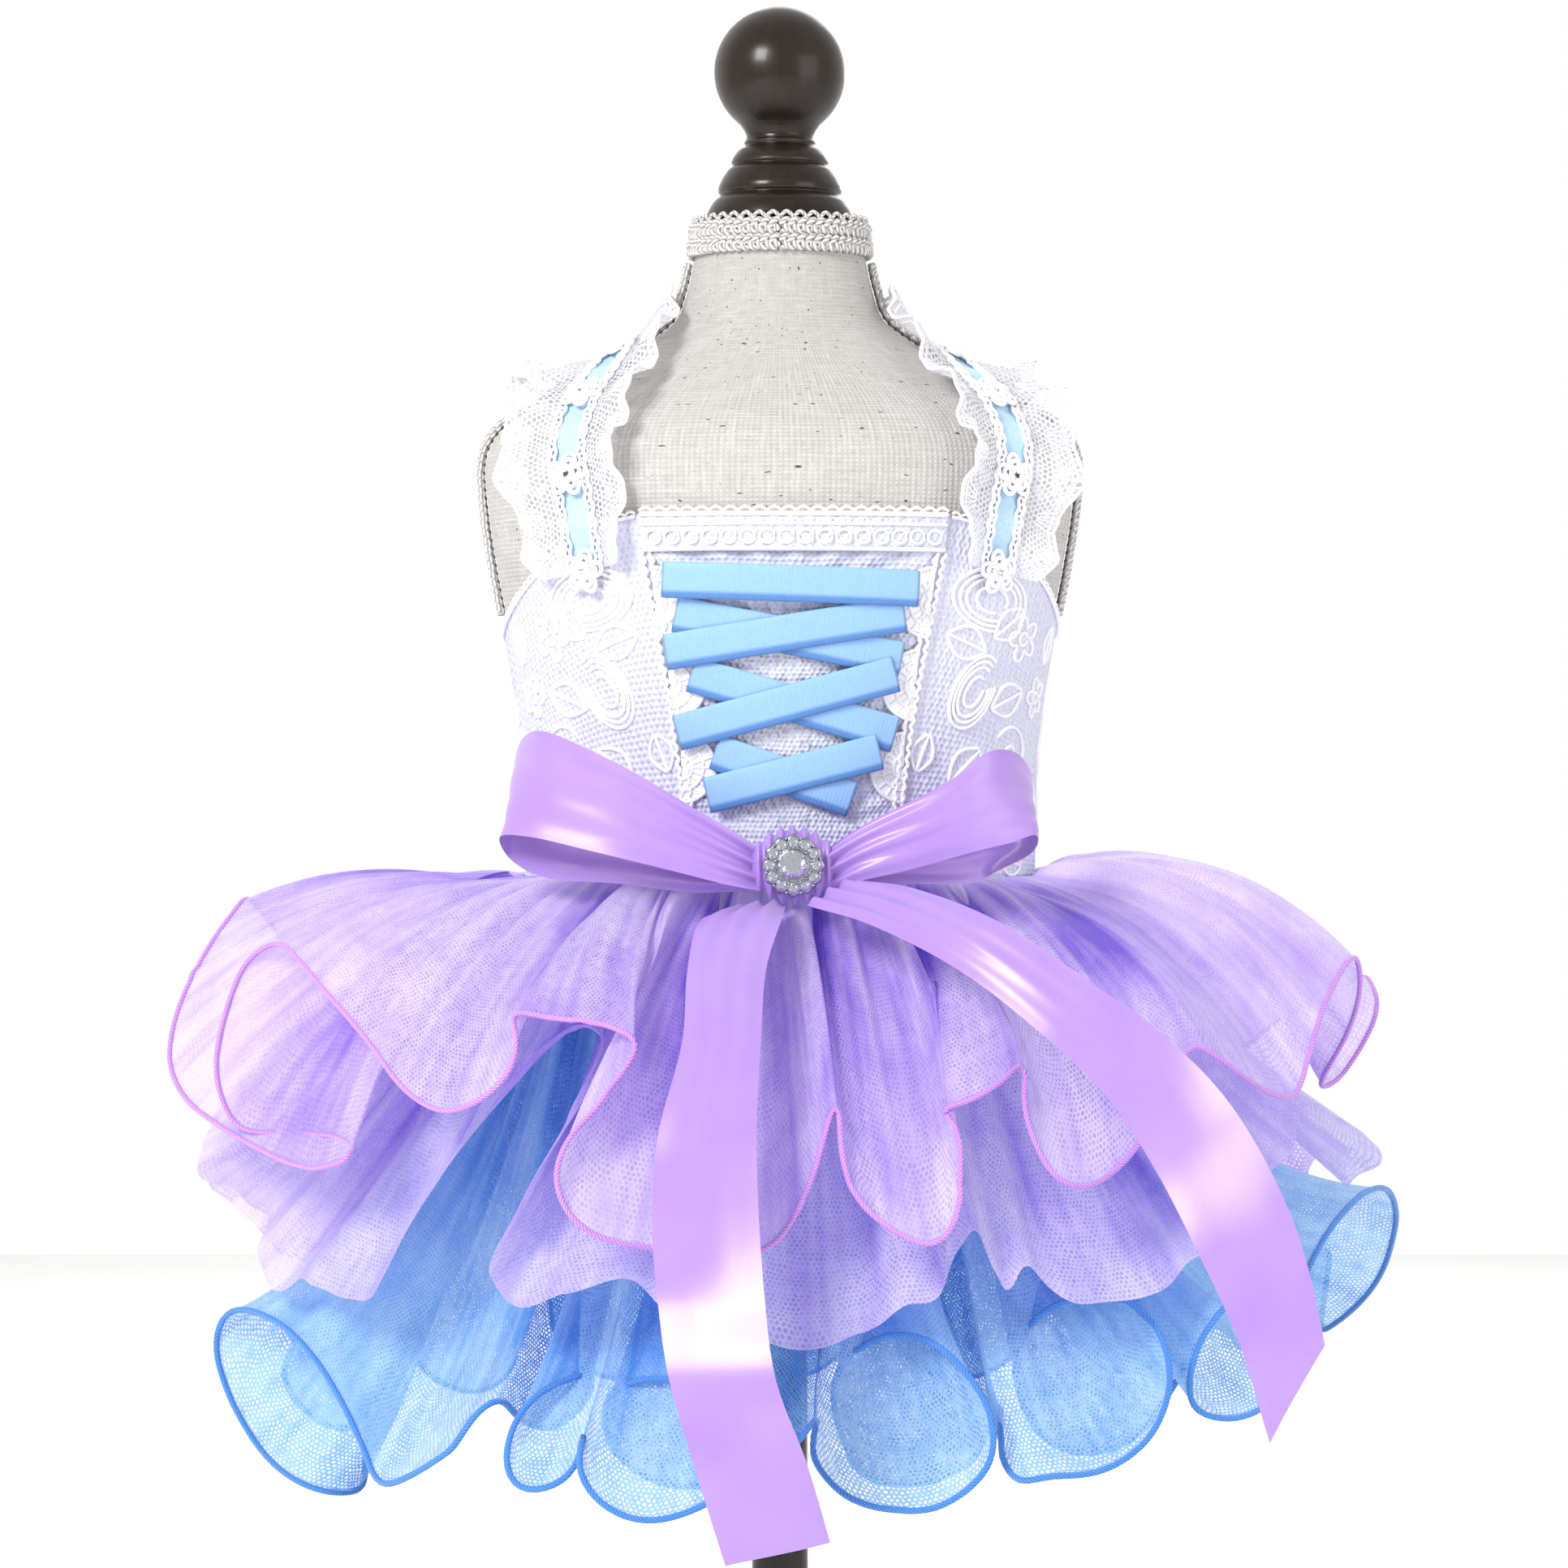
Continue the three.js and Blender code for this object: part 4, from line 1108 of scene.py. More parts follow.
for side_name, side_sign in (("right", 1), ("left", -1)):
    raised_lace(f"bodice_front_{side_name}_cording", side_sign)
    raised_lace(f"bodice_back_{side_name}_cording", side_sign, mirrored_from=HALF_ROUND + 14)
print("motifs on each panel:", len(MOTIFS))

# %% [markdown]
# ## Edges of the bodice
# A lace band runs along the neckline, and a fine cord with picots finishes the armholes, the
# back and the panel seams. Down each seam of the centre panel goes a row of three wide picot
# loops, worked as arcs with short bars between them.

# %% Neckline band, edges and picot loops
BAND = {"half": 33.0, "low": 305.0, "high": 314.0, "cut": 13.0}   # 13 mm lace, 4 turned in


def neck_band():
    x = np.linspace(-BAND["half"], BAND["half"], 140)
    shown = np.linspace(BAND["high"], BAND["low"], 16)
    turned = BAND["high"] + np.array([-2.6, -1.8, -0.9, 0.0, 0.5, 0.5])
    heights = np.concatenate([turned, shown])
    out = FIRST_LAYER + 0.5 + np.concatenate([[-1.7, -1.7, -1.7, -1.6, -1.1, -0.4], np.zeros(16)])
    ripple = 0.25 * np.sin(x[None, :] * 1.7) * np.sin(heights[:, None] * 1.1)
    turn = turn_at(x)[None, :] + TURN
    grid = on_torso(turn, heights[:, None], out[:, None] + ripple)
    band = make("neckline_band_lace", cloth_part(grid), LACE)
    cords = []
    off = torso_normal(turn_at(x) + TURN, np.full_like(x, 309.0))
    for height, radius in ((BAND["high"], 0.6), (BAND["high"] - 2.4, 0.4), (BAND["low"] + 0.6, 0.5)):
        line = on_torso(turn_at(x) + TURN, height, FIRST_LAYER + 0.9)
        cords.append(tube_part(line, off, radius, sides=6))
    for centre in np.arange(-30, 31, 4.0):
        angle = np.linspace(0, 2 * np.pi, 20)
        ring_x, ring_z = centre + 1.6 * np.cos(angle), 308.6 + 1.6 * np.sin(angle)
        line = on_torso(turn_at(ring_x) + TURN, ring_z, FIRST_LAYER + 0.9)
        cords.append(tube_part(line, torso_normal(turn_at(ring_x) + TURN, ring_z), 0.38, sides=6))
    scallop = BAND["high"] + 0.7 + 0.9 * np.abs(np.sin(np.linspace(0, np.pi * 22, 500)))
    long_x = np.linspace(-BAND["half"], BAND["half"], 500)
    line = on_torso(turn_at(long_x) + TURN, scallop, FIRST_LAYER + 0.6)
    cords.append(tube_part(line, torso_normal(turn_at(long_x) + TURN, scallop), 0.4, sides=6))
    trim = make("neckline_band_cording", joined(cords), LACE_CORD)
    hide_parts("neckline_lace_band")


def bodice_edges():
    parts = []
    for sign in (-1, 1):
        turns = np.linspace(31, 180, 900)
        ripple = 0.7 * np.abs(np.sin(np.linspace(0, np.pi * 66, 900)))
        for lift, radius in ((0.0, 0.5), (0.6, 0.36)):
            z = upper_edge(turns) - 0.5 + (ripple + lift if lift else 0)
            line = on_torso(sign * turns + TURN, z, BODICE_OUT + 0.35)
            parts.append(tube_part(line, torso_normal(sign * turns + TURN, z), radius, sides=6))
        for seam in (centre_seam, side_seam):
            z = np.linspace(WAIST_Z + 0.5, upper_edge(seam(300.0)) - 1, 120)
            turn = sign * seam(z) + TURN
            line = on_torso(turn, z, BODICE_OUT + 0.3)
            parts.append(tube_part(line, torso_normal(turn, z), 0.5, sides=6))
    piece = make("bodice_edge_cording", joined(parts), LACE_CORD)


PICOT = {"high": 303.0, "low": 244.0, "loops": 3, "reach": 7.4}


def picot_loops(name, sign):
    pitch = (PICOT["high"] - PICOT["low"]) / PICOT["loops"]
    parts = []
    for loop in range(PICOT["loops"]):
        middle = PICOT["high"] - pitch * (loop + 0.5)
        seam = float(np.interp(centre_seam(middle), SPREAD, SPREAD_RUN))
        angle = np.linspace(-np.pi / 2, np.pi / 2, 36)
        for share, radius in ((1.0, 0.5), (0.66, 0.4), (0.34, 0.4)):
            x = seam + 0.8 - (PICOT["reach"] + 1) * share * np.cos(angle)
            z = middle + pitch * 0.42 * share * np.sin(angle)
            parts.append(laid_cord(sign * x, z, radius, out=FIRST_LAYER + 0.4))
        spread = np.linspace(0.05, 0.97, 8)[:, None]
        fan_x = seam + 0.8 - (PICOT["reach"] + 1) * spread * np.cos(angle[::-1])
        fan_z = middle + pitch * 0.4 * spread * np.sin(angle[::-1])
        ground, _ = on_bodice(sign * fan_x, fan_z, FIRST_LAYER + 0.25)
        parts.append(cloth_part(ground))
        for tilt in np.radians(np.linspace(-75, 75, 9)):
            t = np.linspace(0.3, 1.12, 6)
            x = seam + 0.8 - (PICOT["reach"] + 1) * t * math.cos(tilt)
            z = middle + pitch * 0.42 * t * math.sin(tilt)
            parts.append(laid_cord(sign * x, z, 0.3, out=FIRST_LAYER + 0.35, sides=5))
    for shift in (-0.6, 1.4):
        z = np.linspace(PICOT["low"] - 3, PICOT["high"] + 2, 160)
        x = np.interp(centre_seam(z), SPREAD, SPREAD_RUN) + shift + 0.35 * np.sin(z * 2.4)
        parts.append(laid_cord(sign * x, z, 0.5, out=FIRST_LAYER + 0.4))
    piece = make(f"picot_loops_{name}", joined(parts), LACE_CORD)
    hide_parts(f"picot_edging_{name}")


neck_band()
bodice_edges()
picot_loops("left", -1)
picot_loops("right", 1)
print("picot loops a side:", PICOT["loops"])

# %% [markdown]
# ## Lacing
# Seven lengths of flat ribbon cross the centre panel. The strips that run up to the right lie on
# top. Each end is folded back under itself and sewn down, so the sheet turns under at its ends.

# %% Lacing
LACING_HALF = 4.3
LACING_STEP = 1.3
LACING = [
    # name, left x, left z, right x, right z, layer
    ("lacing_top_bar", -31.5, 298.3, 29.5, 296.2, 3),
    ("lacing_1_under", -28.3, 290.2, 25.6, 279.5, 1),
    ("lacing_1_over", -30.6, 281.2, 26.2, 290.2, 2),
    ("lacing_2_under", -24.5, 276.0, 24.3, 261.7, 1),
    ("lacing_2_over", -27.8, 262.1, 24.3, 276.0, 2),
    ("lacing_3_under", -18.8, 257.6, 13.8, 246.4, 1),
    ("lacing_3_over", -20.7, 247.3, 20.5, 257.6, 2),
]
FOLD_UNDER = 4.0


def lacing_strip(name, left_x, left_z, right_x, right_z, layer):
    base = FIRST_LAYER + 1.2 + 0.3 + 0.5 + (layer - 1) * LACING_STEP
    length = math.hypot(right_x - left_x, right_z - left_z)
    run = np.array([right_x - left_x, right_z - left_z]) / length
    fold = np.linspace(0, 1, 9)[1:]
    flat = np.linspace(0, length, 70)
    along = np.concatenate([FOLD_UNDER * fold[::-1], flat, length - FOLD_UNDER * fold])
    sink = np.concatenate([-0.7 * np.sqrt(fold[::-1]), np.zeros(70), -0.7 * np.sqrt(fold)])
    side = np.array([1, 1, 0.97, 0.88, 0.72, 0.5, 0.25, 0, -0.25, -0.5, -0.72, -0.88, -0.97, -1, -1])
    edge = -np.array([0.9, 0.5, 0.2, 0.06, 0.01, 0, 0, 0, 0, 0, 0.01, 0.06, 0.2, 0.5, 0.9])[:, None]
    x = left_x + run[0] * along[None, :] - run[1] * side[:, None] * LACING_HALF
    z = left_z + run[1] * along[None, :] + run[0] * side[:, None] * LACING_HALF
    crown = 0.15 * (1 - side[:, None] ** 2) + 0.08 * np.sin(along[None, :] * 0.35 + left_z) + edge
    out = base + sink[None, :] + crown
    reach = smooth(TORSO["z"], TORSO["wide"], z) + base
    turn = TURN + np.degrees(np.arcsin(x / reach))
    grid = on_torso(turn, z, out)
    # A painted shadow: a dark blue band along the strip's lower edge, where the strip would shade the lace
    # below.
    painted_edge_shadow = np.where(side <= -0.6, 0.85, 0.0)[:, None] * np.ones((1, grid.shape[1]))
    piece = make(name + "_ribbon", cloth_part(grid), SKY_RIBBON, attributes={"edge": painted_edge_shadow})
    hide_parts(name)


for lacing_row in LACING:
    lacing_strip(*lacing_row)

# %% [markdown]
# ## Straps
# A strap is beading lace, which is lace with a row of slots, with sky-blue ribbon threaded
# through it. A frill of sheer lace is gathered on along each edge. The strap's line runs from the
# front of the bodice over the shoulder to its back, and all its parts hang on that one line.

# %% Strap line
STRAP_LINE = table(
    "turn z",
    (43, 301),
    (44, 316),
    (46, 330),
    (49, 340),
    (58, 348),
    (73, 353.4),
    (90, 355),
    (107, 353.4),
    (122, 348),
    (131, 340),
    (134, 330),
    (136, 316),
    (137, 299),
)
STRAP_OUT = FIRST_LAYER + 0.3 + 0.6
STRAP_HALF = 5.0
FRILLS = {
    "inner": {"sign": -1, "reach": 13.5, "lift": 4.4},
    "outer": {"sign": 1, "reach": 15.5, "lift": 4.2},
}
FRILL_WAVES = 9
FRILL_WAVE = 2.6


def strap_line(side, share):
    """Places along a strap, the direction off the shoulder and the direction away from the neck."""
    turn = TURN + side * STRAP_LINE["turn"]
    knots = off_torso(turn, STRAP_LINE["z"], np.full(len(turn), STRAP_OUT))
    ups = torso_normal(turn, STRAP_LINE["z"])
    keys = curve_keys(knots)
    at = np.interp(share * (len(knots) - 1), np.arange(len(knots)), keys)
    line = through(keys, knots, at)
    up = unit(through(keys, ups, at))
    ahead = unit(np.gradient(line, axis=0))
    across = unit(np.cross(ahead, up)) * side
    return line, up, across


print("strap is", round(run_along(strap_line(1, np.linspace(0, 1, 99))[0])[-1]), "mm long")

# %% Beading lace and its ribbon
SLOT_PITCH = 12.0


def beading(name, side):
    share = np.linspace(0, 1, 360)
    line, up, across = strap_line(side, share)
    run = run_along(line)
    slots = round(run[-1] / SLOT_PITCH)
    phase = 2 * np.pi * slots * run / run[-1]
    steps = np.linspace(-1, 1, 9)
    weave = 0.35 * np.cos(phase)[:, None, None] * up[:, None]
    ribbon_places = line[:, None] + across[:, None] * steps[None, :, None] * STRAP_HALF + weave
    ribbon = make(f"strap_{name}_ribbon", cloth_part(ribbon_places.transpose(1, 0, 2)), PALE_RIBBON)
    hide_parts(f"strap_{name}_beading")

    parts = []
    for edge in (-1, 1):
        for reach, radius in ((3.3, 0.45), (4.9, 0.55)):
            wobble = 0.3 * np.sin(phase * 3)[:, None]
            parts.append(tube_part(line + across * (edge * reach + wobble) + up * 0.5, up, radius, sides=6))
        zigzag = 0.8 * np.sin(phase * 4)[:, None]
        parts.append(tube_part(line + across * (edge * 4.1 + zigzag) + up * 0.45, up, 0.35, sides=6))
    for slot in range(slots + 1):
        middle = int(np.argmin(np.abs(phase - 2 * np.pi * slot)))
        for shift in (-1, 1) if slot % 2 == 0 else ():
            n = int(np.clip(middle + shift * 3, 0, len(line) - 1))
            t = np.linspace(-3.6, 3.6, 12)[:, None]
            bar = line[n] + across[n] * t + up[n] * (0.9 + 0.3 * np.cos(t / 3.6 * np.pi / 2))
            parts.append(tube_part(bar, up[n], 0.55, sides=6))
        if slot % 2 == 0:
            ahead = np.cross(up[middle], across[middle])
            for size, lift in ((5.2, 1.2), (3.6, 1.5), (1.9, 1.8)):
                angle = np.linspace(0, 2 * np.pi, 50)
                reach = size * (0.5 + 0.5 * np.abs(np.sin(2.5 * angle)))
                petals = (
                    line[middle]
                    + across[middle] * (reach * np.cos(angle))[:, None]
                    + ahead * (reach * np.sin(angle))[:, None]
                    + up[middle] * lift
                )
                parts.append(tube_part(petals, up[middle], 0.6, sides=6))
    lace = make(f"strap_{name}_beading_lace", joined(parts), LACE_CORD)


beading("left", -1)
beading("right", 1)
print("slots every", SLOT_PITCH, "mm")

# %% Strap frills


def frill(name, side, edge):
    kind = FRILLS[edge]
    share = np.linspace(0, 1, 9 * 44)
    line, up, across = strap_line(side, share)
    full = 0.4 + 0.6 * np.sin(np.pi * share) ** 0.5
    wave = np.sin(2 * np.pi * FRILL_WAVES * share)
    scallops = np.abs(np.sin(np.pi * FRILL_WAVES * 2 * share))
    steps = np.linspace(0, 1, 22)

    def place(step):
        step = np.broadcast_to(step, share.shape)[:, None]
        reach = kind["reach"] * full * (0.9 + 0.12 * scallops)
        fine = 0.35 * np.sin(2 * np.pi * 4 * FRILL_WAVES * share + 1.3)
        lift = (kind["lift"] * full)[:, None] * step**1.3 + (FRILL_WAVE * wave + fine)[:, None] * step
        return line + across * kind["sign"] * (STRAP_HALF + reach[:, None] * step) + up * lift

    grid = np.stack([place(step) for step in steps])
    sheet = make(f"strap_{name}_frill_{edge}_lace", cloth_part(grid), SHEER_LACE)
    off = grid_normal(grid)
    cords = [tube_part(grid[-1], off[-1], 0.45, sides=6), tube_part(grid[-4], off[-4], 0.28, sides=5)]
    for scallop in range(2 * FRILL_WAVES):
        centre = (scallop + 0.5) / (2 * FRILL_WAVES)
        for tilt in (-0.022, -0.011, 0.0, 0.011, 0.022):
            ladder = []
            for step in np.linspace(0.42, 0.97, 8):
                at = centre + tilt * (step - 0.25) * 1.3
                column = int(np.clip(round(at * (len(share) - 1)), 0, len(share) - 1))
                row = int(round(step * (len(steps) - 1)))
                ladder.append(grid[row, column] + off[row, column] * 0.1)
            cords.append(tube_part(np.array(ladder), off[10, column], 0.28, sides=5))
    trim = make(f"strap_{name}_frill_{edge}_cording", joined(cords), LACE_CORD)
    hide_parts(f"strap_{name}_frill_{edge}")


for side_name, side_sign in (("left", -1), ("right", 1)):
    for edge_name in FRILLS:
        frill(side_name, side_sign, edge_name)

# %% [markdown]
# ## Skirt
# Each skirt layer is a wide length of tulle, gathered into the waist and free at the hem, where
# its stiffness throws it into round flutes. The hem is the longest line of the cloth and gives a
# flute its shape, so the hem is drawn first, and the cloth is hung between it and the waist.
# Cloth simulation would find such folds by chance; a drawn hem keeps each flute in its place.

# %% Hem lines of the front
VIEW_STEPS = 1932    # steps across or down the camera's view
HEM_NAMES = "across down y"


def seen(rows):
    """Places in mm, from steps across and down the camera's view and a depth y."""
    step = (rows["y"] - CAMERA_PLACE[1] / MM) * SENSOR / LENS / VIEW_STEPS
    x = CAMERA_PLACE[0] / MM + (rows["across"] - VIEW_STEPS / 2) * step
    z = CAMERA_PLACE[2] / MM + (VIEW_STEPS / 2 - rows["down"]) * step
    return np.stack([x, rows["y"], z], axis=-1)


LILAC_HEM = table(
    HEM_NAMES,
    *[(350, 1158, 25), (318, 1116, 16), (304, 1102, 12), (290, 1118, 8), (258, 1166, 0), (222, 1240, -12)],
    *[(210, 1305, -22)],
    *[(228, 1350, -30), (263, 1380, -40), (317, 1412, -55), (375, 1437, -68), (425, 1432, -78)],
    *[(436, 1416, -80), (415, 1398, -70), (350, 1395, -55), (296, 1388, -50), (272, 1345, -48)],
    *[(268, 1300, -46), (282, 1238, -44), (305, 1185, -42), (342, 1161, -45), (371, 1184, -55)],
    *[(403, 1225, -65), (457, 1286, -78), (499, 1341, -88), (547, 1368, -97), (595, 1352, -102)],
    *[(628, 1318, -103), (637, 1280, -100), (631, 1247, -95), (670, 1252, -98), (712, 1257, -102)],
    *[(755, 1264, -106), (785, 1284, -110), (768, 1318, -113), (735, 1362, -116), (700, 1400, -119)],
    *[(684, 1447, -121), (702, 1496, -122), (745, 1525, -122), (807, 1537, -122), (870, 1545, -121)],
    *[(920, 1545, -121), (962, 1522, -120), (1000, 1450, -116), (1030, 1358, -110), (1038, 1415, -116)],
    *[(1052, 1465, -119), (1085, 1503, -121), (1145, 1533, -121), (1176, 1505, -119), (1183, 1456, -116)],
    *[(1180, 1390, -110), (1160, 1366, -106), (1196, 1357, -108), (1231, 1335, -106), (1260, 1309, -100)],
    *[(1262, 1367, -106), (1275, 1410, -108), (1300, 1450, -109), (1335, 1462, -107), (1371, 1443, -102)],
    *[(1406, 1402, -95), (1440, 1330, -85), (1468, 1287, -78), (1503, 1304, -75), (1540, 1330, -68)],
    *[(1573, 1348, -58), (1597, 1345, -50), (1612, 1300, -42), (1632, 1235, -32), (1667, 1176, -18)],
    *[(1675, 1215, -10), (1660, 1270, -2), (1625, 1335, 8), (1650, 1325, 20), (1688, 1265, 26)],
    *[(1695, 1230, 30), (1682, 1198, 40)],
)
UNDER_HEM = table(
    HEM_NAMES,
    *[(285, 1330, 20), (250, 1395, 8), (240, 1425, -5), (259, 1454, -15), (294, 1480, -25)],
    *[(326, 1491, -32), (334, 1502, -36), (326, 1518, -40), (312, 1543, -43), (315, 1559, -46)],
    *[(345, 1593, -54), (365, 1580, -58), (377, 1566, -60), (383, 1579, -63), (419, 1594, -70)],
    *[(450, 1607, -77), (463, 1591, -80), (476, 1559, -83), (498, 1521, -85), (527, 1473, -86)],
    *[(559, 1425, -87), (601, 1368, -87), (655, 1300, -87), (712, 1262, -89), (745, 1285, -93)],
    *[(712, 1350, -97), (679, 1418, -99), (635, 1500, -100), (604, 1560, -101), (618, 1618, -103)],
    *[(690, 1600, -107), (775, 1590, -111), (850, 1620, -113)],
    *[(905, 1640, -114), (960, 1652, -114), (1020, 1657, -114), (1076, 1645, -112), (1116, 1599, -109)],
    *[(1158, 1604, -111), (1184, 1540, -109), (1200, 1508, -107), (1216, 1550, -109), (1236, 1592, -110)],
    *[(1262, 1560, -107), (1292, 1593, -107), (1345, 1604, -104)],
    *[(1404, 1596, -99), (1445, 1570, -93), (1480, 1537, -86), (1540, 1480, -70), (1585, 1420, -52)],
    *[(1611, 1362, -40), (1640, 1372, -28), (1670, 1389, -14), (1688, 1410, -2), (1682, 1440, 10)],
    *[(1658, 1468, 22)],
)
BLUE_HEM = table(
    HEM_NAMES,
    *[(380, 1640, 34), (352, 1680, 28), (361, 1716, 20), (396, 1751, 10), (437, 1760, 2)],
    *[(452, 1730, -10), (450, 1780, -24), (448, 1830, -36), (415, 1838, -46), (380, 1830, -47)],
    *[(348, 1811, -44), (323, 1786, -40), (300, 1751, -37), (281, 1712, -35), (267, 1660, -34)],
    *[(275, 1623, -36), (297, 1612, -40), (323, 1620, -45), (351, 1636, -50), (380, 1665, -56)],
    *[(406, 1700, -62), (431, 1744, -70), (447, 1779, -74), (460, 1814, -78), (470, 1829, -81)],
    *[(492, 1824, -85), (527, 1805, -91), (559, 1780, -95), (578, 1750, -97), (597, 1728, -97)],
    *[(620, 1721, -95), (640, 1745, -88), (680, 1760, -82), (722, 1725, -83), (731, 1693, -88)],
    *[(702, 1697, -94), (664, 1716, -99), (639, 1744, -103), (626, 1776, -106), (624, 1804, -108)],
    *[(632, 1827, -110), (654, 1836, -112), (686, 1828, -113), (704, 1815, -113), (716, 1790, -112)],
    *[(721, 1758, -110), (714, 1790, -115), (714, 1812, -117), (723, 1832, -118), (746, 1855, -120)],
    *[(774, 1869, -121), (802, 1873, -121), (833, 1867, -121), (870, 1852, -121), (905, 1827, -118)],
    *[(932, 1783, -112), (936, 1740, -106), (900, 1709, -102), (860, 1699, -100), (822, 1697, -98)],
    *[(796, 1697, -97), (774, 1703, -96), (748, 1725, -92), (760, 1790, -84), (820, 1830, -80)],
    *[(900, 1826, -80), (970, 1790, -88), (1006, 1745, -100), (1000, 1790, -110), (1033, 1835, -118)],
    *[(1069, 1853, -121), (1116, 1860, -122), (1159, 1855, -121), (1212, 1815, -118), (1225, 1775, -114)],
    *[(1218, 1729, -110), (1199, 1696, -107), (1172, 1666, -104), (1139, 1646, -101), (1099, 1642, -98)],
    *[(1059, 1659, -95), (1030, 1692, -91), (1030, 1745, -86), (1060, 1815, -80), (1130, 1828, -78)],
    *[(1195, 1800, -82), (1230, 1730, -92), (1232, 1765, -104), (1240, 1810, -111), (1262, 1828, -115)],
    *[(1288, 1817, -117), (1318, 1817, -116), (1351, 1813, -114), (1384, 1798, -111), (1414, 1772, -107)],
    *[(1431, 1742, -103), (1441, 1705, -99), (1437, 1666, -95), (1421, 1629, -91), (1391, 1604, -88)],
    *[(1351, 1594, -86), (1308, 1603, -86), (1275, 1623, -86), (1258, 1652, -85), (1250, 1690, -82)],
    *[(1275, 1760, -76), (1330, 1790, -72), (1400, 1770, -70), (1450, 1700, -72), (1490, 1630, -78)],
    *[(1518, 1602, -82), (1497, 1620, -85), (1477, 1652, -86), (1465, 1688, -87), (1462, 1720, -87)],
    *[(1470, 1739, -86), (1488, 1746, -85), (1512, 1749, -83), (1538, 1743, -79), (1562, 1728, -74)],
    *[(1590, 1680, -66), (1598, 1625, -58), (1603, 1582, -52), (1615, 1553, -47), (1635, 1517, -41)],
    *[(1659, 1488, -33), (1679, 1470, -25), (1700, 1463, -15), (1713, 1473, -6), (1719, 1497, 2)],
    *[(1714, 1526, 9), (1703, 1561, 15), (1682, 1594, 22), (1656, 1620, 30), (1624, 1643, 40)],
)
print("drawn hem places:", [len(rows["y"]) for rows in (LILAC_HEM, UNDER_HEM, BLUE_HEM)])

# %% [markdown]
# ## Flutes of the back
# Behind, the flutes are regular. The cloth's direction turns evenly down off a ridge, round the
# bottom and up to the next, so each flute is nearly a closed loop at the hem. Every layer has a
# fall too: how far out and how high its middle and its hem hang at the front, sides and back.

# %% Falls and back flutes
FLUTE_NAMES = "width swing tall"
LILAC_FLUTES = table(FLUTE_NAMES, (26, 82, 1.0), (24, 86, 1.0), (27, 80, 1.0), (25, 86, 1.0), (26, 82, 1.0))
BLUE_FLUTES = table(
    FLUTE_NAMES,
    *[(23, 110, 0.9), (25, 116, 0.9), (24, 112, 0.9), (23, 114, 0.9)],
    *[(25, 110, 0.9), (24, 116, 0.9), (24, 112, 0.9)],
)


def fall_table(front, right, back, left):
    names = ("mid_out", "mid_z", "out", "z")
    sides = {"front": front, "right": right, "back": back, "left": left}
    return {side: dict(zip(names, values)) for side, values in sides.items()}


# Pleats: turn from the front, depth in mm, width in degrees and how far down they reach.
LAYERS = {
    "lilac_ruffle": {
        "fall": fall_table(
            (84, 204, 116, 167), (104, 232, 136, 190), (78, 206, 115, 173), (102, 225, 132, 192)
        ),
        "hem": LILAC_HEM,
        "flutes": LILAC_FLUTES,
        "waist_out": 3.4,
        "pleats": [
            *[(8, 4.2, 1.7, 1.0), (-14, 3.2, 1.8, 0.8), (34, 3.2, 2, 0.9)],
            *[(-38, 3.4, 2, 0.9), (57, 2.8, 2, 0.8)],
        ],
        "bottom": 0.6,
        "raw": 0.0,
    },
    "lilac_underlayer": {
        "fall": fall_table(
            (70, 172, 104, 134), (94, 190, 138, 150), (66, 166, 104, 135), (92, 182, 136, 140)
        ),
        "hem": UNDER_HEM,
        "flutes": BLUE_FLUTES,
        "waist_out": 2.8,
        "pleats": [(12, 3.5, 2, 1.0), (-20, 3, 2, 1.0), (-55, 3, 2, 0.9), (40, 3, 2, 1.0)],
        "bottom": 0.66,
        "raw": 1.1,
    },
    "blue_ruffle": {
        "fall": fall_table(
            (64, 142, 124, 105), (83, 145, 144, 121), (62, 132, 124, 105), (80, 136, 130, 102)
        ),
        "hem": BLUE_HEM,
        "flutes": BLUE_FLUTES,
        "waist_out": 2.2,
        "pleats": [(4, 3, 2, 0.9), (22, 3, 2, 0.9), (-22, 3, 2, 0.9)],
        "bottom": 0.72,
        "raw": 0.0,
    },
}


def ring_place(layer, turn, out_name, z_name):
    """A place of a layer's middle or hem line at a turn from the front."""
    fall = layer["fall"]
    ahead, across = np.cos(np.radians(turn)), np.sin(np.radians(turn))
    fore = {n: np.where(ahead > 0, fall["front"][n], fall["back"][n]) for n in (out_name, z_name)}
    beside = {n: np.where(across > 0, fall["right"][n], fall["left"][n]) for n in (out_name, z_name)}
    z = fore[z_name] * ahead**2 + beside[z_name] * across**2
    return np.stack([beside[out_name] * across, -fore[out_name] * ahead, z], axis=-1)


def flute_curve(swing, bottom, at):
    """Along (0 to 1) and height (in flute widths) at shares of a flute's cloth."""
    s = (np.arange(240) + 0.5) / 240
    side = (1 - bottom) / 2
    turned = np.where(s < side, -s / side, np.where(s > 1 - side, (1 - s) / side, (s - 0.5) / (bottom / 2)))
    direction = math.radians(swing) * turned
    run = np.concatenate([[0], np.cumsum(np.cos(direction))])
    drop = np.concatenate([[0], np.cumsum(np.sin(direction))])
    n = np.arange(241) / 240
    return np.interp(at, n, run) / run[-1], (np.interp(at, n, drop) - drop.min() / 2) / run[-1]


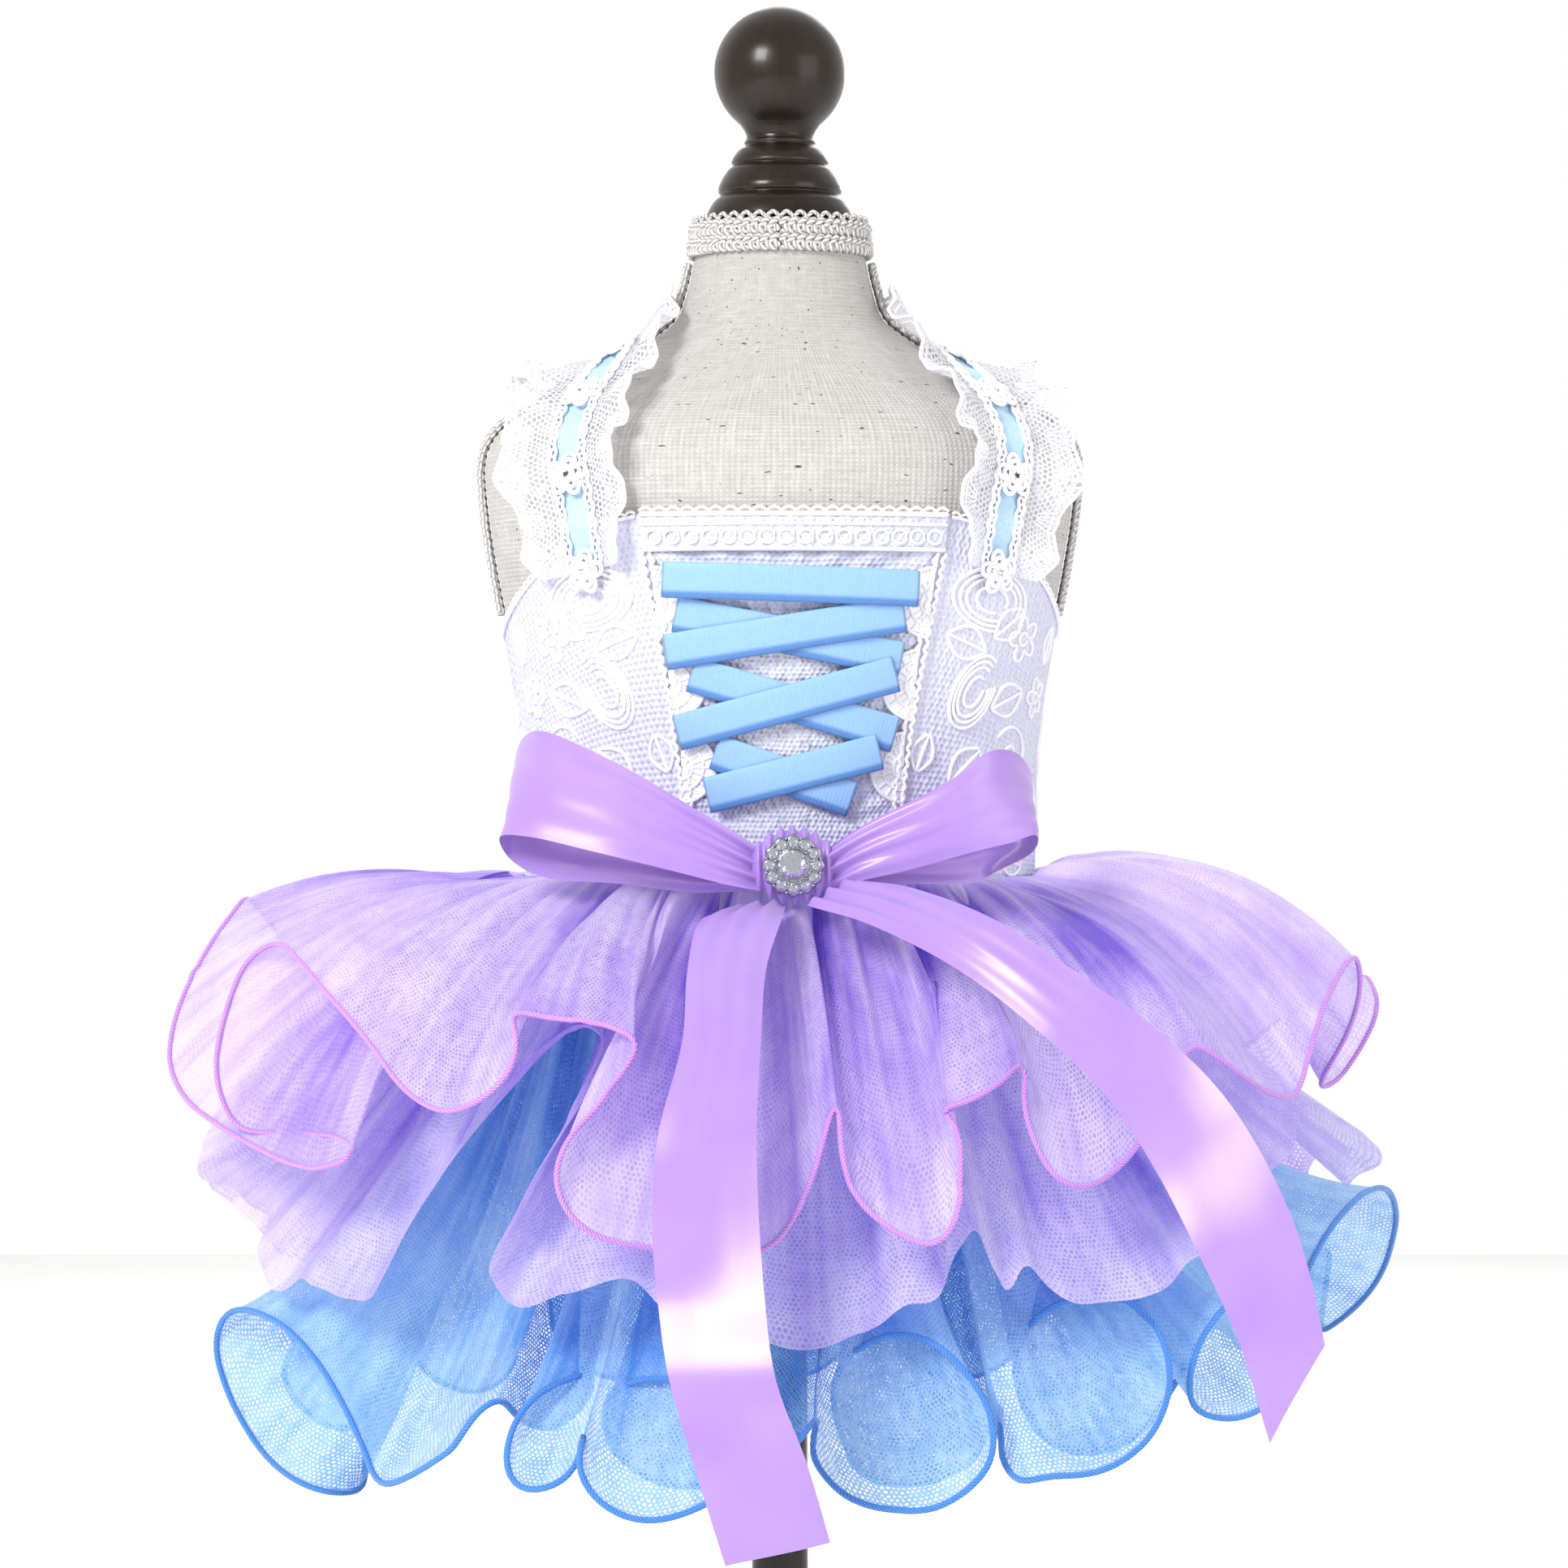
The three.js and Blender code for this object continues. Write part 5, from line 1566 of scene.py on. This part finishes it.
def back_flutes(layer, first, last):
    """Hem places of regular flutes from one turn round to another."""
    flutes = layer["flutes"]
    edges = np.concatenate([[0], np.cumsum(flutes["width"])])
    turns = first + (last - first) * edges / edges[-1]
    at = np.linspace(0, 1, 60)[:-1]
    places = []
    for n, (swing, tall) in enumerate(zip(flutes["swing"], flutes["tall"])):
        along, height = flute_curve(swing, layer["bottom"], at)
        turn = turns[n] + along * (turns[n + 1] - turns[n])
        hem = ring_place(layer, turn, "out", "z")
        down = unit(hem - ring_place(layer, turn, "mid_out", "mid_z"))
        off = -unit(np.cross(ring_place(layer, turn + 1, "out", "z") - hem, down))
        ends = [ring_place(layer, turns[end], "out", "z") for end in (n, n + 1)]
        chord = np.linalg.norm(ends[1] - ends[0])
        places.append(hem + off * (height * chord * tall)[:, None])
    return np.concatenate(places)


print("back flutes:", {name: len(layer["flutes"]["width"]) for name, layer in LAYERS.items()})

# %% [markdown]
# ## Hanging the cloth
# The hem is closed and walked at even steps of cloth. From each step a thread of the cloth runs up
# to the waist over a middle place. A flute's sway fades on the way up, as the gathers hold the
# cloth even, and small creases run down from the gathers and die out.

# %% Cloth between hem and waist
HEM_COLUMNS = 900
LAYER_ROWS = 46
WAIST_LIFT = 1.6      # mm that the gathers reach up over the bodice's lower edge
MIDDLE_SWAY = 0.42    # how much of a flute's sway its middle has


def softened(values, width):
    """Values round a closed line, blended with their neighbours over a width in columns."""
    count = len(values)
    away = np.arange(count)
    weight = np.exp(-0.5 * (np.minimum(away, count - away) / width) ** 2)
    blend = np.fft.rfft(weight / weight.sum())[:, None]
    return np.fft.irfft(np.fft.rfft(values, axis=0) * blend, count, axis=0)


def turn_of(places):
    return np.degrees(np.arctan2(places[..., 0], -places[..., 1]))


def closed_hem(layer):
    """Even places round the hem and its length: drawn flutes in front, regular ones behind."""
    knots = seen(layer["hem"])
    keys = curve_keys(knots)
    front = through(keys, knots, np.linspace(0, keys[-1], 2400))
    back = back_flutes(layer, turn_of(knots[-1]) + 3, turn_of(knots[0]) + 357)
    line = np.concatenate([front, back, front[:1]])
    run = run_along(line)
    even = np.linspace(0, run[-1], HEM_COLUMNS + 1)[:-1]
    hem = np.stack([np.interp(even, run, line[:, axis]) for axis in range(3)], axis=-1)
    return softened(hem, 1.3), float(run[-1])


def layer_grid(layer, hem, shares):
    """Rows of places from the waist to the hem. The last column is the first once more."""
    middle = softened(hem, HEM_COLUMNS * 0.045)
    turn = np.degrees(np.unwrap(np.radians(turn_of(middle))))
    out = layer["waist_out"]
    waist = on_torso(turn, WAIST_Z, out) + [0, 0, WAIST_LIFT]
    halfway = ring_place(layer, turn, "mid_out", "mid_z") + (hem - middle) * MIDDLE_SWAY
    t = shares[:, None, None]
    grid = (1 - t) ** 2 * waist + 2 * t * (1 - t) * halfway + t**2 * hem
    return np.concatenate([grid, grid[:, :1]], axis=1)


def creases(shape, count, width, depth, reach):
    """How far soft troughs and ridges push the cloth, uneven in place, width and length."""
    rows, columns = shape
    share = np.linspace(0, 1, rows)[:, None]
    column = np.arange(columns)[None, :]
    push = np.zeros(shape)
    for _ in range(count):
        middle = rng.uniform(0, columns - 1) + rng.normal(0, width) * 2 * share
        away = np.abs(column - middle)
        away = np.minimum(away, columns - 1 - away)
        half = width * rng.uniform(0.6, 1.5)
        end = reach * rng.uniform(0.45, 1.15)
        size = depth * rng.uniform(0.4, 1.3) * rng.choice([-1, 1])
        push += size * np.exp(-((away / half) ** 2)) * np.sin(np.pi * np.clip(share / end, 0, 1) ** 0.6)
    push[:, -1] = push[:, 0]
    return push


def tulle_layer(name, material):
    layer = LAYERS[name]
    shares = np.linspace(0, 1, LAYER_ROWS)
    hem, length = closed_hem(layer)
    grid = layer_grid(layer, hem, shares)
    shape = grid.shape[:2]
    push = creases(shape, count=90, width=8, depth=2.1, reach=1.15)
    push += creases(shape, count=260, width=2.6, depth=0.85, reach=0.75)
    push += creases(shape, count=90, width=1.2, depth=0.8, reach=1.3)
    turns = turn_of(grid[8])[None, :]
    for turn, depth, width, reach in layer["pleats"]:
        fade = np.sin(np.pi * np.clip(shares / reach, 0, 1) ** 0.7)[:, None]
        push -= depth * np.exp(-(((turns - turn) / width) ** 2)) * fade
    off = grid_normal(grid)
    off[:, 0] = off[:, -1] = unit(off[:, 0] + off[:, -1])
    grid = grid + off * push[:, :, None]
    if layer["raw"]:
        ragged = softened(rng.normal(0, 1, (HEM_COLUMNS, 1)), 3)[:, 0]
        ragged = layer["raw"] * ragged / np.abs(ragged).std()
        down = unit(grid[-1] - grid[-2])
        for row in (-2, -1):
            grid[row] += down * (np.append(ragged, ragged[0]) * (0.5 if row == -2 else 1.0))[:, None]
    fall = np.linalg.norm(np.diff(grid, axis=0), axis=2).sum(axis=0)
    along = np.linspace(0, length, HEM_COLUMNS + 1)
    uv = np.stack(np.broadcast_arrays(along[None, :], shares[:, None] * fall.mean()), axis=-1)
    gather = np.broadcast_to(np.exp(-4.0 * shares)[:, None], shape)
    swing = np.linalg.norm(hem[:, :2], axis=1) - np.linalg.norm(softened(hem, 40)[:, :2], axis=1)
    swing = np.append(swing, swing[0])
    # Painted fold shading for the tulle material: larger in the creases' troughs and where a flute turns in,
    # smaller on ridges.
    painted_fold_shading = np.clip(0.42 - push / 3.2 - swing[None, :] * shares[:, None] / 26, 0, 1.8)
    piece = make(name + "_tulle", cloth_part(grid, uv), material, attributes={"gather": gather, "painted_fold_shading": painted_fold_shading})
    panels = ("front_left", "front_right", "back_right", "back_left")
    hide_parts(*(f"{name}_{panel}" for panel in panels))
    print(f"{name}: hem {length:.0f} mm, fall {fall.mean():.0f} mm, {fall.min():.0f} to {fall.max():.0f}")
    return piece, grid, length, float(fall.mean())


def hem_cord(name, grid, radius, material):
    line = grid[-1, :-1]
    down = unit(grid[-1, :-1] - grid[-3, :-1])
    piece = make(name, tube_part(line + down * radius * 0.5, down, radius, ring=True), material)
    return piece


def skirt():
    for name, material, slot in (
        ("blue_ruffle", BLUE_TULLE, "blue_tulle"),
        ("lilac_underlayer", LILAC_TULLE, "lilac_tulle"),
        ("lilac_ruffle", LILAC_TULLE, "lilac_tulle"),
    ):
        piece, grid, length, fall = tulle_layer(name, material)
        if name == "blue_ruffle":
            hem_cord("blue_ruffle_wired_hem", grid, 0.75, BLUE_THREAD)
        if name == "lilac_ruffle":
            hem_cord("lilac_ruffle_rolled_hem", grid, 0.65, ORCHID_THREAD)


skirt()

# %% [markdown]
# ## Bow
# The bow is 25 mm satin ribbon: two loops, a knot wrapped over their middle and two tails. Each
# stretch is a table of the ribbon's middle line, half its width and how its width leans. Near the
# knot the ribbon is squeezed, so pleats run out of it and die away.

# %% Bow tables
RIBBON_NAMES = "x y z half lean twist"
LEFT_LOOP = table(
    RIBBON_NAMES,
    (-5, -67.0, 230, 5, 0, 0),
    (-16, -70.5, 235, 8.5, -14, 0),
    (-32, -72.5, 242, 11.5, -14, 0),
    (-46, -70.5, 247, 12.5, -6, 0),
    (-57, -65.5, 250, 12.5, 6, 20),
    (-63.5, -57.5, 249, 12, 20, 50),
    (-63, -51, 243.5, 11.5, 22, 70),
    (-53, -52, 238.5, 11, 14, 30),
    (-38, -57, 236, 9.5, 8, 0),
    (-20, -61.5, 232, 7.5, 4, 0),
    (-5, -63.0, 230, 5, 0, 0),
)
RIGHT_LOOP = table(
    RIBBON_NAMES,
    (11.4, -67.0, 230, 5, 0, 0),
    (21, -70, 235, 8.5, 22, 0),
    (34, -71, 240, 11.5, 26, 0),
    (46, -69, 245.5, 12.5, 16, 20),
    (55, -63.5, 246.5, 11.5, 24, 70),
    (60, -57, 244.5, 9.5, 44, 90),
    (57, -51, 240.5, 9.5, 30, 90),
    (44, -54.5, 236, 9.5, -8, 0),
    (28, -60, 234, 7.5, -4, 0),
    (11.4, -63.0, 230, 5, 0, 0),
)
TAIL_1 = table(
    RIBBON_NAMES,
    (-5, -68.5, 221.5, 6.5, 90, 0),
    (-9, -84, 219, 9.5, 90, 0),
    (-12, -101, 208, 9, 90, 6),
    (-13, -119, 192, 9, 90, 10),
    (-16, -132, 172, 11, 90, 6),
    (-16.3, -137.5, 154, 11.8, 90, -4),
    (-15, -142.5, 137, 12.2, 90, -14),
    (-12.4, -150, 120, 12.2, 90, -14),
    (-6.4, -152, 102, 12.5, 90, -4),
    (0.2, -150, 80, 12.0, 87, 4),
)
TAIL_2 = table(
    RIBBON_NAMES,
    (12, -72, 225, 6.5, 68, 10),
    (26, -86, 222, 6.8, 55, 20),
    (45, -104, 213.5, 7.4, 42, 25),
    (64, -115.5, 200, 8.2, 42, 18),
    (81, -120.5, 185.5, 9.6, 48, 4),
    (93, -127, 170, 11.1, 56, -10),
    (103, -135.5, 150, 11.1, 66, -8),
    (110, -139, 130, 9.3, 72, 0),
    (115.5, -139, 107, 7.8, 72, 0),
)


def ribbon_grid(rows, along=170, across=27, cut=0.0):
    """A ribbon's places. Cut takes that share off its +side edge, for a slanting end."""
    count = len(rows["x"])
    knots = np.stack([rows[axis] for axis in "xyz"], axis=-1)
    keys = curve_keys(knots)
    side = np.linspace(-1, 1, across)[None, :]
    share = np.linspace(0, 1, along)[:, None] * (1 - cut * (1 + side) / 2)
    index = share * (count - 1)
    at = np.interp(index, np.arange(count), keys)
    middle = through(keys, knots, at)
    n = np.arange(count)
    half, lean, twist = (smooth(n, rows[key], index) for key in ("half", "lean", "twist"))
    lean, twist = np.radians(lean), np.radians(twist)
    width = np.stack([np.sin(lean) * np.cos(twist), np.sin(lean) * np.sin(twist), np.cos(lean)], axis=-1)
    return middle + width * (half * side)[:, :, None], share, side


def pleated(grid, share, side, ends, depth=1.3, crown=0.5):
    """Pleats that run out of the knot and fade, and a slight crown across the ribbon."""
    near = np.zeros_like(share + side)
    for end in ends:
        near = near + np.exp(-np.abs(share - end) / 0.16)
    push = depth * near * np.cos(3.2 * np.pi * side + 0.6) * (1 - 0.3 * side**2)
    push = push + crown * (1 - side**2)
    push = push + 0.5 * np.sin(7 * share + 2.2 * side)
    return grid + grid_normal(grid) * push[:, :, None]


KNOT = {"x": 3.2, "y": -66.0, "z": 231.0, "wide": 9.6, "deep": 4.6, "high": 8.6}


def bow_piece(name, rows, ends, cut=0.0, depth=1.3):
    grid, share, side = ribbon_grid(rows, cut=cut)
    grid = pleated(grid, share, side, ends, depth=depth)
    piece = make(name + "_satin", cloth_part(grid), SATIN)
    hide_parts(name)


bow_piece("bow_loop_left", LEFT_LOOP, (0, 1))
bow_piece("bow_loop_right", RIGHT_LOOP, (0, 1))
bow_piece("bow_tail_front", TAIL_1, (0,), cut=0.02, depth=0.9)
bow_piece("bow_tail_side", TAIL_2, (0,), cut=0.09, depth=0.9)

# %% Knot


KNOT_FOLDS = 7


def knot():
    """The ribbon wrapped round the loops' middle, squeezed to three quarters of its width in folds."""
    side = np.linspace(-1, 1, 90)[None, :]
    angle = np.radians(np.linspace(-180, 180, 73))[:, None]
    round_off = np.sqrt(np.clip(1 - (0.94 * side) ** 2, 0, 1))
    folds = 0.75 * np.cos(np.pi * KNOT_FOLDS * side + 0.5 * np.sin(angle))
    x = KNOT["x"] + KNOT["wide"] * side + 0 * angle
    y = KNOT["y"] - (KNOT["deep"] * round_off + folds) * np.cos(angle)
    z = KNOT["z"] + (KNOT["high"] * round_off + folds) * np.sin(angle)
    grid = np.stack([x, y, z], axis=-1)[::-1]
    piece = make("bow_knot_satin", cloth_part(grid), SATIN)
    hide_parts("bow_knot")
    turned = float(run_along(grid[:, 45])[-1])
    return turned


print("knot is", round(knot()), "mm of ribbon wrapped once round")

# %% [markdown]
# ## Brooch
# A round cast setting holds one large stone and a ring of twelve small ones. Each stone is a
# brilliant: a flat table, a crown of facets and a girdle. Facets must stay sharp, so the stones
# are not smoothed. Small claws hold each stone at its girdle.

# %% Brooch
BROOCH = {"radius": 7.1, "stone": 3.4, "ring": 5.35, "small": 1.22, "count": 12}
BROOCH_FACE = KNOT["y"] - KNOT["deep"] - 0.9


def at_brooch(x, z, depth):
    """A place on the brooch from its centre, depth towards the viewer."""
    x, z, depth = np.broadcast_arrays(x, z, depth)
    return np.stack([KNOT["x"] + x, BROOCH_FACE - depth, KNOT["z"] + z], axis=-1)


def cut_stone(x, z, radius, base, sides=12):
    """A brilliant-cut stone as rings of facets, each ring turned by half a side."""
    rows = [(1.0, 0.0, 0.0), (1.0, 0.16, 0.0), (0.82, 0.42, 0.5), (0.55, 0.6, 0.0), (0.02, 0.6, 0.0)]
    rings = []
    for reach, height, turned in rows:
        angle = 2 * np.pi * (np.arange(sides) + turned) / sides
        ring_x, ring_z = x + radius * reach * np.cos(angle), z + radius * reach * np.sin(angle)
        rings.append(at_brooch(ring_x, ring_z, base + radius * height))
    places = np.concatenate(rings)
    faces = []
    for ring in range(len(rows) - 1):
        for n in range(sides):
            a, b = ring * sides + n, ring * sides + (n + 1) % sides
            faces += [[a, b, b + sides], [a, b + sides, a + sides]]
    return places, faces, places[:, [0, 2]]


def bead(x, z, depth, radius):
    up_angle = np.radians(np.linspace(80, -80, 6))[:, None]
    angle = np.linspace(0, 2 * np.pi, 10)[None, :]
    grid = at_brooch(
        x + radius * np.cos(up_angle) * np.cos(angle),
        z + radius * np.sin(up_angle) * np.ones_like(angle),
        depth + radius * np.cos(up_angle) * np.sin(angle),
    )
    return cloth_part(grid)


def brooch():
    angle = np.linspace(0, 2 * np.pi, 145)[None, :]
    outline = [(0.05, 0.0), (1.0, 0.0), (1.0, 1.0), (0.93, 1.5)]
    outline += [(0.6, 1.6), (0.52, 2.0), (0.48, 2.0), (0.02, 0.9)]
    rim = 1 + 0.045 * np.cos(BROOCH["count"] * angle)
    reach = np.array([row[0] for row in outline])[:, None] * BROOCH["radius"]
    wavy = np.where(reach > 0.9 * BROOCH["radius"], reach * rim, reach * np.ones_like(angle))
    depth = np.array([row[1] for row in outline])[:, None]
    metal = [cloth_part(at_brooch(wavy * np.cos(angle), wavy * np.sin(angle), depth))]
    stones = []
    facing = np.array([0, -1.0, 0])
    for n in range(BROOCH["count"]):
        turn = 2 * np.pi * n / BROOCH["count"]
        x, z = BROOCH["ring"] * math.cos(turn), BROOCH["ring"] * math.sin(turn)
        stones.append(cut_stone(x, z, BROOCH["small"], 1.75, sides=8))
        around = np.linspace(0, 2 * np.pi, 19)[:-1]
        cup = at_brooch(x + 1.3 * np.cos(around), z + 1.3 * np.sin(around), 1.75)
        metal.append(tube_part(cup, facing, 0.2, sides=6, ring=True))
        half_turn = turn + np.pi / BROOCH["count"]
        metal.append(bead(6.5 * math.cos(half_turn), 6.5 * math.sin(half_turn), 1.7, 0.42))
        metal.append(bead(4.2 * math.cos(half_turn), 4.2 * math.sin(half_turn), 2.1, 0.34))
    round_stone = angle[0, :-1]
    collar = at_brooch(3.55 * np.cos(round_stone), 3.55 * np.sin(round_stone), 2.0)
    metal.append(tube_part(collar, facing, 0.28, sides=6, ring=True))
    setting = make("brooch_silver_setting", joined(metal), SILVER)
    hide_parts("brooch_setting")
    stones.append(cut_stone(0, 0, BROOCH["stone"], 2.0, sides=16))
    glass = make("brooch_cut_stones", joined(stones), GLASS, smooth_faces=False)
    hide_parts("brooch_stone")


brooch()
print("brooch", 2 * BROOCH["radius"], "mm across with", BROOCH["count"] + 1, "stones")
